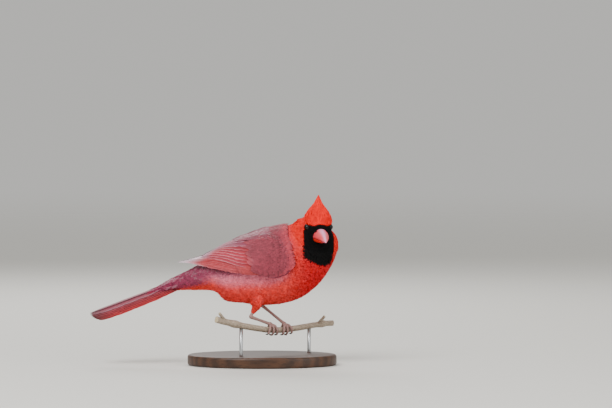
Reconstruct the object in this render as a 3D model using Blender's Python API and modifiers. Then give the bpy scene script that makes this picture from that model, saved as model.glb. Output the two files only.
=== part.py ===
"""Male northern cardinal, life size, perched on a cut length of vine.

The bird stands along +X with its right side towards -Y, and its head is turned to look
out over its right side. A vine on two short rods above a flat base carries the feet.
All sizes below are in millimetres; the origin is the middle of the base's underside.
"""
import math

import bmesh
import bpy
import numpy as np
from mathutils import Vector
from mathutils.bvhtree import BVHTree

MM = 0.001
GAP = 0.3                 # clearance kept between neighbouring pieces
VANE_THICKNESS = 0.55

# Trunk of the bird: each row is one cross-section, given by its lowest point (x, z), its
# highest point (x, z), half its width, how far its middle lies to the left (+Y), and how
# much its upper part is drawn in (0 is an oval).
BODY_SECTIONS = [
    (-97.0, 56.5, -98.0, 60.5, 4.5, 0.0, 0.0),
    (-84.0, 57.5, -86.0, 67.0, 7.5, 0.0, 0.0),
    (-72.0, 61.2, -75.0, 73.2, 10.0, 0.0, 0.0),
    (-56.0, 61.8, -60.0, 80.5, 13.5, 0.0, 0.0),
    (-40.0, 60.6, -43.5, 90.0, 18.0, 0.0, 0.0),
    (-28.5, 52.9, -33.0, 96.5, 21.3, 0.0, 0.0),
    (-15.0, 50.9, -20.0, 103.0, 23.2, 0.0, 0.0),
    (5.0, 49.3, -2.0, 111.5, 24.0, 0.0, 0.0),
    (28.0, 53.6, 14.0, 116.0, 23.5, 0.0, 0.1),
    (45.5, 65.0, 22.5, 117.4, 21.0, 0.0, 0.35),
    (58.0, 82.0, 27.0, 119.0, 16.5, 0.0, 0.62),
    (63.9, 99.0, 30.5, 121.6, 12.8, 0.0, 0.55),
    (60.6, 109.5, 32.0, 122.6, 10.5, 1.5, 0.3),
    (54.0, 115.0, 37.0, 121.0, 6.0, 2.0, 0.0),
]
# Skull, in the head's own frame: how far ahead, half width, top and underside.
SKULL_SECTIONS = [
    (-14.5, 4.0, 7.5, -0.5), (-12.0, 8.6, 11.6, -6.0), (-8.0, 11.6, 14.6, -10.0),
    (-2.0, 11.8, 14.8, -12.3), (2.5, 11.6, 13.4, -13.0), (6.5, 10.6, 10.4, -12.4),
    (9.5, 8.6, 6.8, -11.0), (11.6, 5.6, 3.4, -8.6),
]
RINGS_PER_SECTION = 2
BODY_SIDES = 22

# Head: its middle, and the way it faces: turned from -Y towards +X, and bowed.
HEAD_MIDDLE = (46.0, -4.0, 112.0)
HEAD_TURN = math.radians(15.5)
HEAD_BOW = math.radians(10.0)
EYE_AHEAD, EYE_ABOVE = 3.2, 3.4
EYE_RADIUS = 2.9
EYE_STANDS_OUT = 1.1

# Bill, in the head's own frame: distances ahead of and above the head's middle.
BILL_BASE, BILL_TIP, LOWER_TIP = 8.0, 27.0, 25.2
BILL_HALF_WIDTH = 6.8
CULMEN_HEIGHT, TIP_HEIGHT = 3.8, -4.4

# Crest: its peak in the head's frame, and its rows of feathers.
CREST_PEAK = (-7.5, 1.6, 28.7)
# Each row: how far out it stands, its count, how near the peak its first and last feathers
# reach (1 is the peak), and where its first and last roots lie ahead of the head's middle.
CREST_ROWS = [(0.0, 6, 0.40, 1.0, 9.0, -5.5), (4.0, 3, 0.45, 0.80, 6.0, -7.0),
              (8.6, 3, 0.38, 0.50, 2.5, -9.5)]
# The core's levels: height, half length, half width and how far behind the middle.
CREST_CORE = [(9.0, 10.0, 9.6, 1.5), (13.6, 8.2, 7.8, 2.6), (17.0, 5.2, 4.8, 4.0),
              (19.2, 2.4, 2.0, 5.2)]

# Tail: its axis runs down from the rump; the folded feathers lie in six pairs.
TAIL_ROOT = (-72.0, 0.0, 65.9)
TAIL_SLOPE = math.radians(20.6)
TAIL_ROLL = math.radians(13.0)
TAIL_LENGTH = 74.5
TAIL_PAIRS = 6

# Perch: the vine's course, and its thickness.
VINE_COURSE = [
    (-37.0, -36.0, 40.2), (-22.0, -26.0, 35.8), (-8.0, -16.0, 32.3), (7.0, -5.0, 29.6),
    (19.0, 4.5, 29.2), (36.0, 16.5, 30.9), (50.0, 25.0, 32.6), (59.0, 30.0, 32.8),
]
VINE_RADIUS = 2.7

# Legs: where each foot stands along the vine (x), its heel and its knee, and how far it is
# bare above the heel.
LEGS = {
    "right": {"foot_x": 7.0, "heel": (-9.5, -16.0, 41.2), "knee": (1.0, -10.5, 60.0),
              "bare": 2.2},
    "left": {"foot_x": 19.0, "heel": (-1.2, 10.0, 49.8), "knee": (9.0, 11.0, 62.0),
             "bare": 0.0},
}
TARSUS_RADIUS = 1.25
TOE_RADIUS = 1.2

# Stand: an oval base and two rods under the vine.
BASE_LENGTH, BASE_WIDTH, BASE_HEIGHT = 124.0, 84.0, 9.0
ROD_RADIUS = 1.5
ROD_PLACES = (-17.0, 39.0)

COLOURS = {
    "plumage": (0.62, 0.03, 0.02), "wing": (0.33, 0.07, 0.08), "tail": (0.36, 0.03, 0.05),
    "bill": (0.80, 0.20, 0.12), "eye": (0.02, 0.01, 0.01), "leg": (0.33, 0.20, 0.18),
    "vine": (0.42, 0.34, 0.26), "wood": (0.12, 0.06, 0.035), "steel": (0.55, 0.55, 0.55),
}


def clear_scene():
    for thing in list(bpy.data.objects):
        bpy.data.objects.remove(thing, do_unlink=True)


def new_collection(name):
    collection = bpy.data.collections.new(name)
    bpy.context.scene.collection.children.link(collection)
    return collection


def material(name, roughness, metallic=0.0):
    made = bpy.data.materials.new(name)
    made.use_nodes = True
    shader = made.node_tree.nodes["Principled BSDF"]
    shader.inputs["Base Color"].default_value = (*COLOURS[name], 1.0)
    shader.inputs["Roughness"].default_value = roughness
    shader.inputs["Metallic"].default_value = metallic
    return made


def add_object(name, points, faces, collection, look=None):
    """A mesh object from points in millimetres."""
    mesh = bpy.data.meshes.new(name)
    mesh.from_pydata((np.asarray(points, float) * MM).tolist(), [], faces)
    mesh.validate()
    thing = bpy.data.objects.new(name, mesh)
    collection.objects.link(thing)
    if look:
        mesh.materials.append(look)
    return thing


def smooth_rows(rows, per_span):
    """Rows of numbers, with smooth in-between rows added by a Catmull-Rom curve."""
    rows = np.asarray(rows, float)
    padded = np.vstack([2 * rows[0] - rows[1], rows, 2 * rows[-1] - rows[-2]])
    result = []
    for index in range(len(rows) - 1):
        a, b, c, d = padded[index:index + 4]
        for step in range(per_span):
            t = step / per_span
            result.append(0.5 * (2 * b + (c - a) * t + (2 * a - 5 * b + 4 * c - d) * t ** 2
                                 + (3 * b - a - 3 * c + d) * t ** 3))
    result.append(rows[-1])
    return np.array(result)


def loft_faces(ring_count, sides):
    """Triangles of a closed tube of rings, with a fan at each end."""
    faces = []
    for ring in range(ring_count - 1):
        for side in range(sides):
            a = ring * sides + side
            b = ring * sides + (side + 1) % sides
            c, d = a + sides, b + sides
            faces += [(a, b, d), (a, d, c)]
    first, last = ring_count * sides, ring_count * sides + 1
    for side in range(sides):
        nxt = (side + 1) % sides
        faces.append((first, nxt, side))
        faces.append((last, (ring_count - 1) * sides + side, (ring_count - 1) * sides + nxt))
    return faces


def loft(name, rings, collection, look=None):
    """A closed solid through rings of points, each of the same count."""
    rings = np.asarray(rings, float)
    count, sides = rings.shape[:2]
    points = np.vstack([rings.reshape(-1, 3), rings[0].mean(0), rings[-1].mean(0)])
    thing = add_object(name, points, loft_faces(count, sides), collection, look)
    face_out(thing)
    return thing


def face_out(thing):
    """Turns every face to point out of the solid."""
    edit = bmesh.new()
    edit.from_mesh(thing.data)
    bmesh.ops.recalc_face_normals(edit, faces=edit.faces)
    if edit.calc_volume(signed=True) < 0:
        bmesh.ops.reverse_faces(edit, faces=edit.faces)
    edit.to_mesh(thing.data)
    edit.free()


def unit(vector):
    vector = np.asarray(vector, float)
    return vector / np.linalg.norm(vector)


def frames_along(path):
    """A side and a normal direction at each point of a path, without twist."""
    path = np.asarray(path, float)
    tangents = np.gradient(path, axis=0)
    tangents /= np.linalg.norm(tangents, axis=1)[:, None]
    side = np.cross(tangents[0], (0.0, 0.0, 1.0))
    if np.linalg.norm(side) < 0.1:
        side = np.cross(tangents[0], (0.0, 1.0, 0.0))
    sides = []
    for tangent in tangents:
        side = unit(side - tangent * np.dot(side, tangent))
        sides.append(side)
    sides = np.array(sides)
    return sides, np.cross(sides, tangents)


def tube(name, path, radii, collection, look=None, sides=8):
    """A closed round bar of changing radius along a path."""
    path = np.asarray(path, float)
    side, normal = frames_along(path)
    turn = np.linspace(0, 2 * np.pi, sides, endpoint=False)
    circle = (side[:, None] * np.cos(turn)[None, :, None]
              + normal[:, None] * np.sin(turn)[None, :, None])
    rings = path[:, None] + circle * np.asarray(radii, float)[:, None, None]
    return loft(name, rings, collection, look)


def vane(name, centre, outward, widths, collection, tilt=0.0, thickness=VANE_THICKNESS):
    """One feather: a thin strip along its centre line, flat to the outward direction.

    Both faces are split into the same triangles, so a bent strip never crosses itself.
    """
    centre = np.asarray(centre, float)
    tangents = np.gradient(centre, axis=0)
    tangents /= np.linalg.norm(tangents, axis=1)[:, None]
    outward = np.asarray(outward, float)
    outward = outward - tangents * (outward * tangents).sum(1)[:, None]
    outward /= np.linalg.norm(outward, axis=1)[:, None]
    across = np.cross(tangents, outward)
    lean_across = across * math.cos(tilt) + outward * math.sin(tilt)
    lean_out = outward * math.cos(tilt) - across * math.sin(tilt)
    half = np.asarray(widths, float)[:, None] / 2
    lift = lean_out * thickness / 2
    rings = np.stack([centre - lean_across * half + lift, centre + lean_across * half + lift,
                      centre + lean_across * half - lift, centre - lean_across * half - lift], 1)
    count = len(centre)
    faces = []
    for ring in range(count - 1):
        a, b = ring * 4, ring * 4 + 4
        faces += [(a, a + 1, b + 1), (a, b + 1, b)]
        faces += [(a + 3, b + 2, a + 2), (a + 3, b + 3, b + 2)]
        faces += [(a + 1, a + 2, b + 2), (a + 1, b + 2, b + 1)]
        faces += [(a + 3, a, b), (a + 3, b, b + 3)]
    end = (count - 1) * 4
    faces += [(0, 3, 2), (0, 2, 1), (end, end + 1, end + 2), (end, end + 2, end + 3)]
    thing = add_object(name, rings.reshape(-1, 3), faces, collection)
    face_out(thing)
    return thing


# Places along a feather, and its width there: narrow root, full blade and rounded tip.
FEATHER_STEPS = np.array([0.0, 0.42, 0.86, 1.0])
FEATHER_SHAPE = np.array([0.6, 1.0, 0.82, 0.22])


def apply_modifiers(thing):
    graph = bpy.context.evaluated_depsgraph_get()
    mesh = bpy.data.meshes.new_from_object(thing.evaluated_get(graph))
    thing.modifiers.clear()
    old = thing.data
    thing.data = mesh
    bpy.data.meshes.remove(old)


def keep_largest(thing):
    """Keeps only the closed surface of greatest volume."""
    edit = bmesh.new()
    edit.from_mesh(thing.data)
    left = set(edit.faces)
    islands = []
    while left:
        island, queue = set(), [left.pop()]
        while queue:
            face = queue.pop()
            island.add(face)
            for edge in face.edges:
                for other in edge.link_faces:
                    if other in left:
                        left.discard(other)
                        queue.append(other)
        islands.append(island)
    if len(islands) > 1:
        def volume(island):
            total = 0.0
            for face in island:
                loop = [v.co for v in face.verts]
                for i in range(1, len(loop) - 1):
                    total += loop[0].dot(loop[i].cross(loop[i + 1]))
            return total
        islands.sort(key=volume)
        scrap = [face for island in islands[:-1] for face in island]
        bmesh.ops.delete(edit, geom=scrap, context="FACES")
    edit.to_mesh(thing.data)
    edit.free()


def join(thing, pieces):
    """Fuses the pieces' collection into the solid, as one closed body."""
    modifier = thing.modifiers.new("Join", "BOOLEAN")
    modifier.operation = "UNION"
    modifier.operand_type = "COLLECTION"
    modifier.collection = pieces
    modifier.solver = "MANIFOLD"
    apply_modifiers(thing)
    for piece in list(pieces.objects):
        bpy.data.objects.remove(piece, do_unlink=True)
    keep_largest(thing)


def merge_flat(thing):
    """Joins triangles that lie in one plane, which fusing had split."""
    edit = bmesh.new()
    edit.from_mesh(thing.data)
    bmesh.ops.dissolve_limit(edit, angle_limit=math.radians(0.6), verts=edit.verts,
                             edges=edit.edges)
    bmesh.ops.triangulate(edit, faces=edit.faces)
    edit.to_mesh(thing.data)
    edit.free()


def swollen(thing, amount, collection):
    """A copy of a solid with its surface moved out, to cut its neighbours with."""
    copy = thing.copy()
    copy.data = thing.data.copy()
    copy.name = thing.name + "_clearance"
    collection.objects.link(copy)
    edit = bmesh.new()
    edit.from_mesh(copy.data)
    edit.normal_update()
    moves = [(vertex, vertex.normal * amount * MM) for vertex in edit.verts]
    for vertex, move in moves:
        vertex.co += move
    edit.to_mesh(copy.data)
    edit.free()
    copy.hide_render = True
    copy.display_type = "WIRE"
    return copy


def cut(thing, cutter):
    """Takes the cutter's space out of the solid."""
    modifier = thing.modifiers.new("Cut", "BOOLEAN")
    modifier.operation = "DIFFERENCE"
    modifier.object = cutter
    modifier.solver = "MANIFOLD"
    apply_modifiers(thing)
    keep_largest(thing)


def cut_by_plane(thing, point, normal):
    """Removes what lies on the normal's side of a plane and closes the cut."""
    edit = bmesh.new()
    edit.from_mesh(thing.data)
    bmesh.ops.bisect_plane(edit, geom=edit.verts[:] + edit.edges[:] + edit.faces[:],
                           plane_co=Vector(point) * MM, plane_no=Vector(normal),
                           clear_outer=True)
    rim = [edge for edge in edit.edges if edge.is_boundary]
    if rim:
        bmesh.ops.holes_fill(edit, edges=rim, sides=0)
    bmesh.ops.triangulate(edit, faces=[face for face in edit.faces if len(face.verts) > 4])
    edit.to_mesh(thing.data)
    edit.free()
    face_out(thing)


def duplicate(thing, name, collection, look):
    copy = thing.copy()
    copy.data = thing.data.copy()
    copy.name = name
    copy.data.name = name
    copy.data.materials.clear()
    copy.data.materials.append(look)
    collection.objects.link(copy)
    return copy


def mirrored(thing, name, collection):
    """The same solid on the other side of the bird's middle plane."""
    copy = thing.copy()
    copy.data = thing.data.copy()
    copy.name = name
    copy.data.name = name
    collection.objects.link(copy)
    for vertex in copy.data.vertices:
        vertex.co.y = -vertex.co.y
    copy.data.flip_normals()
    return copy


# Head frame

def head_axes():
    """Ahead, left and up directions of the turned and bowed head."""
    flat = np.array([math.sin(HEAD_TURN), -math.cos(HEAD_TURN), 0.0])
    ahead = flat * math.cos(HEAD_BOW) - np.array([0, 0, math.sin(HEAD_BOW)])
    up = flat * math.sin(HEAD_BOW) + np.array([0, 0, math.cos(HEAD_BOW)])
    left = np.cross(up, ahead)
    return ahead, left, up


def in_head(a, b, c):
    """World place of points given as ahead, left and up distances in the head."""
    ahead, left, up = head_axes()
    a, b, c = (np.asarray(value, float)[..., None] for value in (a, b, c))
    return np.array(HEAD_MIDDLE) + a * ahead + b * left + c * up


# Trunk, from the tail's root to the crown

def body_rings():
    rows = smooth_rows(BODY_SECTIONS, RINGS_PER_SECTION)
    turn = np.linspace(0, 2 * np.pi, BODY_SIDES, endpoint=False)
    rings = []
    for low_x, low_z, high_x, high_z, half_width, shift, pinch in rows:
        low = np.array([low_x, 0, low_z])
        high = np.array([high_x, 0, high_z])
        middle = (low + high) / 2 + np.array([0, shift, 0])
        rise = (high - low) / 2
        drawn_in = 1 - pinch * np.clip(np.sin(turn), 0, 1) ** 2
        ring = (middle + np.sin(turn)[:, None] * rise
                - (np.cos(turn) * drawn_in)[:, None] * np.array([0, half_width, 0]))
        rings.append(ring)
    return np.array(rings)


def skull_rings():
    """Ovals across the head, from its back to the root of the bill."""
    turn = np.linspace(0, 2 * np.pi, BODY_SIDES, endpoint=False)
    rings = []
    for ahead, half_width, top, under in smooth_rows(SKULL_SECTIONS, 2):
        height = (top + under) / 2 + (top - under) / 2 * np.sin(turn)
        across = np.sign(np.cos(turn)) * np.abs(np.cos(turn)) ** 0.85
        rings.append(in_head(np.full(BODY_SIDES, ahead), half_width * across, height))
    return rings


TAIL_DIRECTION = np.array([-math.cos(TAIL_SLOPE), 0.0, -math.sin(TAIL_SLOPE)])
NECK_BASE_POINT, NECK_BASE_NORMAL = np.array([44.0, 0.0, 85.5]), unit((0.66, -0.20, 1.0))
JAW_POINT, JAW_NORMAL = np.array([48.0, -2.0, 97.0]), unit((0.66, -0.25, 1.0))


def split_trunk(parts, pieces, cutters, look, tail_look):
    """Torso, neck, head and the tail's root, parted from one form by thin cuts."""
    whole = loft("whole_form", body_rings(), parts)
    loft("skull", skull_rings(), pieces)
    join(whole, pieces)
    half_gap = GAP / 2
    split = {}
    for name in ("torso", "neck", "head"):
        split[name] = duplicate(whole, name, parts, look)
    split["tail"] = duplicate(whole, "tail", parts, tail_look)
    cut_by_plane(split["torso"], NECK_BASE_POINT - NECK_BASE_NORMAL * half_gap, NECK_BASE_NORMAL)
    cut_by_plane(split["torso"], np.array(TAIL_ROOT) - TAIL_DIRECTION * half_gap, TAIL_DIRECTION)
    cut_by_plane(split["neck"], NECK_BASE_POINT + NECK_BASE_NORMAL * half_gap, -NECK_BASE_NORMAL)
    cut_by_plane(split["neck"], JAW_POINT - JAW_NORMAL * half_gap, JAW_NORMAL)
    cut_by_plane(split["head"], JAW_POINT + JAW_NORMAL * half_gap, -JAW_NORMAL)
    cut_by_plane(split["tail"], np.array(TAIL_ROOT) + TAIL_DIRECTION * half_gap, -TAIL_DIRECTION)
    clearance = swollen(whole, GAP, cutters)
    bpy.data.objects.remove(whole, do_unlink=True)
    return split, clearance


# Bill

def bill_profile(t):
    """Culmen, cutting edge and lower edge heights, and half width, along the bill."""
    culmen = CULMEN_HEIGHT + (TIP_HEIGHT - CULMEN_HEIGHT) * t ** 1.9
    edge = np.interp(t, [0, 0.2, 0.45, 0.75, 0.93, 1.0], [-5.2, -3.7, -3.5, -3.6, -4.1, -4.45])
    lower = np.interp(t, [0, 0.2, 0.45, 0.75, 0.93, 1.0], [-8.0, -7.9, -7.2, -5.9, -5.0, -4.75])
    half = BILL_HALF_WIDTH * np.interp(t, [0, 0.25, 0.5, 0.75, 0.93, 1.0],
                                       [1.0, 0.92, 0.72, 0.44, 0.17, 0.06])
    return culmen, edge, lower, half


def bill_half(name, parts, look, upper):
    """One half of the bill: a rounded ridge over, or a keel under, a flat biting face."""
    arch = np.linspace(0, np.pi, 9)
    rings = []
    reach = (BILL_TIP if upper else LOWER_TIP) - BILL_BASE
    for t in np.linspace(0, 1, 9) ** 0.9:
        culmen, edge, lower, half = bill_profile(t)
        side = half * np.cos(arch) * (1.0 if upper else 0.96)
        if upper:
            height = edge + (culmen - edge) * np.sin(arch) ** 0.85
            flat_height = edge
        else:
            flat_height = edge - GAP
            height = flat_height + (lower - flat_height) * np.sin(arch) ** 0.65
        floor_side = half * np.array([-0.5, 0.0, 0.5]) * (1.0 if upper else 0.96)
        b = np.concatenate([side, floor_side])
        c = np.concatenate([height, np.full(3, flat_height)])
        rings.append(in_head(np.full(12, BILL_BASE + reach * t), b, c))
    return loft(name, rings, parts, look)


def nostril_cutters(cutters):
    """One small slanting pit on each side of the upper bill's base."""
    made = []
    for side in (-1, 1):
        centre = in_head(11.9, side * 4.6, 0.9)
        bpy.ops.mesh.primitive_uv_sphere_add(segments=8, ring_count=6, radius=0.75 * MM,
                                             location=Vector(centre) * MM)
        made.append(bpy.context.object)
    for pit in made:
        move_to(pit, cutters)
        pit.hide_render = True
        pit.display_type = "WIRE"
    return made


def move_to(thing, collection):
    for owner in list(thing.users_collection):
        owner.objects.unlink(thing)
    collection.objects.link(thing)


# Eyes

def surface_point(tree, start, direction):
    """Where a line from inside a solid leaves its surface, in millimetres."""
    hit = tree.ray_cast(Vector(start) * MM, Vector(direction))
    return np.array(hit[0]) / MM


def eye_places(head):
    """Middle of each eyeball and the way it looks out, from the skin over it."""
    tree = BVHTree.FromObject(head, bpy.context.evaluated_depsgraph_get())
    ahead, left, _ = head_axes()
    places = {}
    for side, sign in (("right", -1), ("left", 1)):
        rim = surface_point(tree, in_head(EYE_AHEAD, 0, EYE_ABOVE), left * sign)
        out = unit(left * sign + 0.35 * ahead)
        places[side] = (rim - out * (EYE_RADIUS - EYE_STANDS_OUT), out)
    return places


def ball(name, centre, radius, collection, look=None):
    bpy.ops.mesh.primitive_uv_sphere_add(segments=14, ring_count=8, radius=radius * MM,
                                         location=Vector(centre) * MM)
    thing = bpy.context.object
    thing.name = name
    thing.data.name = name
    move_to(thing, collection)
    thing.data.transform(thing.matrix_world)
    thing.matrix_world.identity()
    if look:
        thing.data.materials.append(look)
    return thing


def lid(name, centre, out, collection):
    """A raised rim around the eye, a ring lying on the skin."""
    up = head_axes()[2]
    fore = unit(np.cross(up, out))
    up = np.cross(out, fore)
    level = EYE_RADIUS - EYE_STANDS_OUT - 0.1
    ring_radius = math.sqrt(EYE_RADIUS ** 2 - level ** 2) + 0.45
    rings = []
    for angle in np.linspace(0, 2 * np.pi, 12, endpoint=False):
        spoke = fore * math.cos(angle) + up * math.sin(angle)
        middle = centre + spoke * ring_radius + out * level
        rings.append([middle + (spoke * math.cos(q) + out * math.sin(q)) * 0.62
                      for q in np.linspace(0, 2 * np.pi, 5, endpoint=False)])
    rings = np.array(rings)
    count, sides = rings.shape[:2]
    faces = []
    for ring in range(count):
        for k in range(sides):
            a = ring * sides + k
            b = ring * sides + (k + 1) % sides
            c = ((ring + 1) % count) * sides + k
            d = ((ring + 1) % count) * sides + (k + 1) % sides
            faces.append((a, b, d, c))
    thing = add_object(name, rings.reshape(-1, 3), faces, collection)
    face_out(thing)
    return thing


# Crest

def crest_feathers(pieces):
    """Rows of narrow feathers from the crown, rising and drawn in to one peak."""
    peak = np.array(CREST_PEAK)
    ahead, left, up = head_axes()
    for offset, count, reach_front, reach_back, front, back in CREST_ROWS:
        for side in ((1,) if offset == 0 else (1, -1)):
            for index in range(count):
                share = index / (count - 1)
                root = np.array([front + (back - front) * share, side * offset,
                                 12.6 - 0.055 * offset ** 2 - 3.6 * max(0, 0.6 - share)])
                reach = reach_front + (reach_back - reach_front) * min(1, share * 1.4)
                tip = root + (peak - root) * reach
                tip[1] = side * offset * (1 - 0.75 * reach)
                t = FEATHER_STEPS[:, None]
                base = root - np.array([0.4, side * 0.15 * offset, 3.2])
                bow = np.array([1.8 * (0.5 - share), side * 0.16 * offset, 0.0])
                line = base + (tip - base) * t + bow * np.sin(np.pi * t)
                out = (1.5 * (0.55 - share) * ahead + side * offset * 0.3 * left + 0.35 * up)
                vane(f"crest_{offset}_{side}_{index}", in_head(*line.T), np.tile(out, (4, 1)),
                     5.2 * FEATHER_SHAPE, pieces, thickness=0.6)


def crest_core(pieces):
    """The low middle of the crest, less than half way up to its peak."""
    turn = np.linspace(0, 2 * np.pi, 10, endpoint=False)
    rings = []
    for height, length, width, behind in CREST_CORE:
        rings.append(in_head(length * np.cos(turn) - behind, width * np.sin(turn),
                             np.full(len(turn), height)))
    loft("crest_core", rings, pieces)


# Wings

# Folded wing's sheet behind the body: x, middle height, half width, height to the back.
SHEET = np.array([
    (30.0, 84.0, 10.0, 12.0), (-18.0, 78.5, 22.0, 23.0), (-30.0, 78.9, 21.5, 20.0),
    (-40.0, 79.6, 18.6, 15.2), (-50.0, 80.8, 15.0, 10.6), (-60.0, 82.0, 11.8, 6.0),
    (-74.0, 83.0, 8.8, 1.6),
])[::-1]
WING_LIFT = 1.7
# Where each primary ends, from the outermost to the innermost.
PRIMARY_TIPS = (-58.0, -65.0, -69.0, -70.0, -67.0, -62.0, -56.0)
# The arm of the wing: x, and the lowest and highest angle it covers there.
WING_ARM = [(25.8, 0.0, 8.0), (24.0, -8.0, 19.0), (20.0, -15.0, 30.0), (12.5, -18.0, 45.0),
            (5.0, -14.0, 58.0), (-3.0, -9.0, 68.0), (-15.0, -4.0, 77.0)]


def settle(angle):
    """How much of its lift the wing keeps: less where it lies down along the back."""
    return 1 - 0.6 * min(1.0, max(0.0, (math.degrees(angle) - 48) / 30))


class WingChart:
    """Places on the folded right wing, by distance along X and angle up its side."""

    def __init__(self, torso):
        self.tree = BVHTree.FromObject(torso, bpy.context.evaluated_depsgraph_get())

    def radius(self, x, angle, middle, half_width, height):
        sheet = 1 / math.sqrt((math.cos(angle) / half_width) ** 2
                              + (math.sin(angle) / height) ** 2)
        start = Vector((x, 0.0, middle)) * MM
        way = Vector((0.0, -math.cos(angle), math.sin(angle)))
        hit = self.tree.ray_cast(start, way)
        body = hit[3] / MM + WING_LIFT * settle(angle) if hit[0] is not None else 0.0
        sharpness = 6.0
        return (sheet ** sharpness + body ** sharpness) ** (1 / sharpness)

    def place(self, x, angle_degrees, lift=0.0):
        angle = math.radians(angle_degrees)
        middle, half_width, height = (np.interp(x, SHEET[:, 0], SHEET[:, k]) for k in (1, 2, 3))
        radius = self.radius(x, angle, middle, half_width, height) + lift * settle(angle)
        return np.array([x, -radius * math.cos(angle), middle + radius * math.sin(angle)])

    def outward(self, x, angle_degrees):
        here = self.place(x, angle_degrees)
        along = self.place(x - 2.0, angle_degrees) - here
        round_ = self.place(x, angle_degrees + 4.0) - here
        return unit(np.cross(round_, along))


def wing_core(chart, parts, look):
    """The covered arm of the wing, rounded at its bend and thin behind."""
    places = WING_ARM[0][0] + (WING_ARM[-1][0] - WING_ARM[0][0]) * np.linspace(0, 1, 9) ** 1.3
    arm = np.array(WING_ARM)[::-1]
    shares = np.linspace(0, 1, 8)
    fullness = np.sin(np.pi * np.clip(shares * 0.86 + 0.07, 0, 1)) ** 0.6
    outer, inner = [], []
    for number, x in enumerate(places):
        low, high = np.interp(x, arm[:, 0], arm[:, 1]), np.interp(x, arm[:, 0], arm[:, 2])
        depth = np.interp(number, [0, 1, 2.5, 6, 8], [0.3, 1.5, 2.5, 2.3, 0.9])
        angles = low + (high - low) * shares
        outer.append([chart.place(x, a, depth * f) for a, f in zip(angles, fullness)])
        inner.append([chart.place(x, a, -WING_LIFT - 0.4) for a in angles])
    outer, inner = np.array(outer), np.array(inner)
    rows, columns = outer.shape[:2]
    points = np.vstack([outer.reshape(-1, 3), inner.reshape(-1, 3)])
    faces = []
    base = rows * columns
    for i in range(rows - 1):
        for j in range(columns - 1):
            a = i * columns + j
            b, c, d = a + 1, a + columns, a + columns + 1
            faces += [(a, b, d), (a, d, c), (base + a, base + d, base + b),
                      (base + a, base + c, base + d)]
    rim = ([(0, j) for j in range(columns)] + [(i, columns - 1) for i in range(1, rows)]
           + [(rows - 1, j) for j in range(columns - 2, -1, -1)]
           + [(i, 0) for i in range(rows - 2, 0, -1)])
    for (i, j), (k, m) in zip(rim, rim[1:] + rim[:1]):
        a, b = i * columns + j, k * columns + m
        faces += [(a, b, base + b), (a, base + b, base + a)]
    thing = add_object("wing_right", points, faces, parts, look)
    face_out(thing)
    return thing


def wing_vane(chart, name, root, tip, lift, width, pieces, tilt):
    """One feather between two places of the chart, given as (x, angle)."""
    t = FEATHER_STEPS
    xs = root[0] + (tip[0] - root[0]) * t
    angles = root[1] + (tip[1] - root[1]) * t ** 1.15
    lifts = np.interp(t, [0, 0.3, 1], [lift - 0.5, lift, lift * 0.75])
    centre = [chart.place(x, a, h) for x, a, h in zip(xs, angles, lifts)]
    outward = [chart.outward(x, a) for x, a in zip(xs, angles)]
    vane(name, centre, outward, width * FEATHER_SHAPE, pieces, tilt)


def wing_feathers(chart, pieces):
    """Flight feathers and two rows of coverts, each upper one over the one below."""
    lean = math.radians(-5)
    for index, x in enumerate(PRIMARY_TIPS):
        share = index / (len(PRIMARY_TIPS) - 1)
        wing_vane(chart, f"primary_{index}", (-3.0, -2 + 8 * share), (x, 18 + 36 * share),
                  0.1 + 0.18 * index, 7.0, pieces, lean)
    for index in range(5):
        share = index / 4
        wing_vane(chart, f"secondary_{index}", (-4.0 - 3 * share, 6 + 30 * share),
                  (-51 + 6 * share, 46 + 22 * share), 1.5 + 0.2 * index, 8.4, pieces, lean)
    for index in range(3):
        share = index / 2
        wing_vane(chart, f"tertial_{index}", (-7.0, 45 + 23 * share),
                  (-43 + 7 * share, 72 + 8 * share), 2.4 + 0.2 * index, 9.4, pieces, lean)
    for index in range(6):
        share = index / 5
        wing_vane(chart, f"greater_covert_{index}", (8.0, -6 + 57 * share),
                  (-6.0 - 12 * share, 2 + 67 * share), 2.4 + 0.08 * index, 11.6, pieces, lean)
    for index in range(5):
        share = index / 4
        wing_vane(chart, f"median_covert_{index}", (14.0, -9 + 48 * share),
                  (2.5 - 7 * share, -5 + 60 * share), 2.95, 11.0, pieces, lean)


def build_wings(parts, pieces, torso, clearance, look):
    chart = WingChart(torso)
    wing = wing_core(chart, parts, look)
    wing_feathers(chart, pieces)
    join(wing, pieces)
    cut(wing, clearance)
    cut_by_plane(wing, (0, -GAP / 2, 0), (0, 1, 0))
    keep_largest(wing)
    merge_flat(wing)
    mirrored(wing, "wing_left", parts)


# Tail

def tail_axes():
    """Down the tail, across it to the left, and out of its upper face."""
    across_flat = np.array([0.0, 1.0, 0.0])
    out_flat = np.cross(across_flat, TAIL_DIRECTION)
    if out_flat[2] < 0:
        out_flat = -out_flat
    across = across_flat * math.cos(TAIL_ROLL) + out_flat * math.sin(TAIL_ROLL)
    out = out_flat * math.cos(TAIL_ROLL) - across_flat * math.sin(TAIL_ROLL)
    return TAIL_DIRECTION, across, out


def tail_feathers(pieces):
    """Twelve long feathers in six pairs, the middle pair on top."""
    down, across, out = tail_axes()
    root = np.array(TAIL_ROOT)
    for pair in range(TAIL_PAIRS):
        share = pair / (TAIL_PAIRS - 1)
        length = TAIL_LENGTH - 5.5 * share ** 2
        for side in (1, -1):
            t = FEATHER_STEPS[:, None]
            spread = side * (0.9 + 0.72 * pair + t * (0.5 + 0.85 * pair))
            drop = 3.6 - 0.95 * pair + (0.42 if side > 0 else 0.0) - 0.4 * t
            centre = root + down * (4.0 + (length - 4.0) * t) + across * spread + out * drop
            lean = math.radians(-8) * side
            normal = out * math.cos(lean) + across * math.sin(-lean)
            vane(f"rectrix_{pair}_{side}", centre, np.tile(normal, (4, 1)),
                 10.5 * FEATHER_SHAPE, pieces)


# Perch and stand

def vine_course():
    return smooth_rows(VINE_COURSE, 3)


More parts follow.
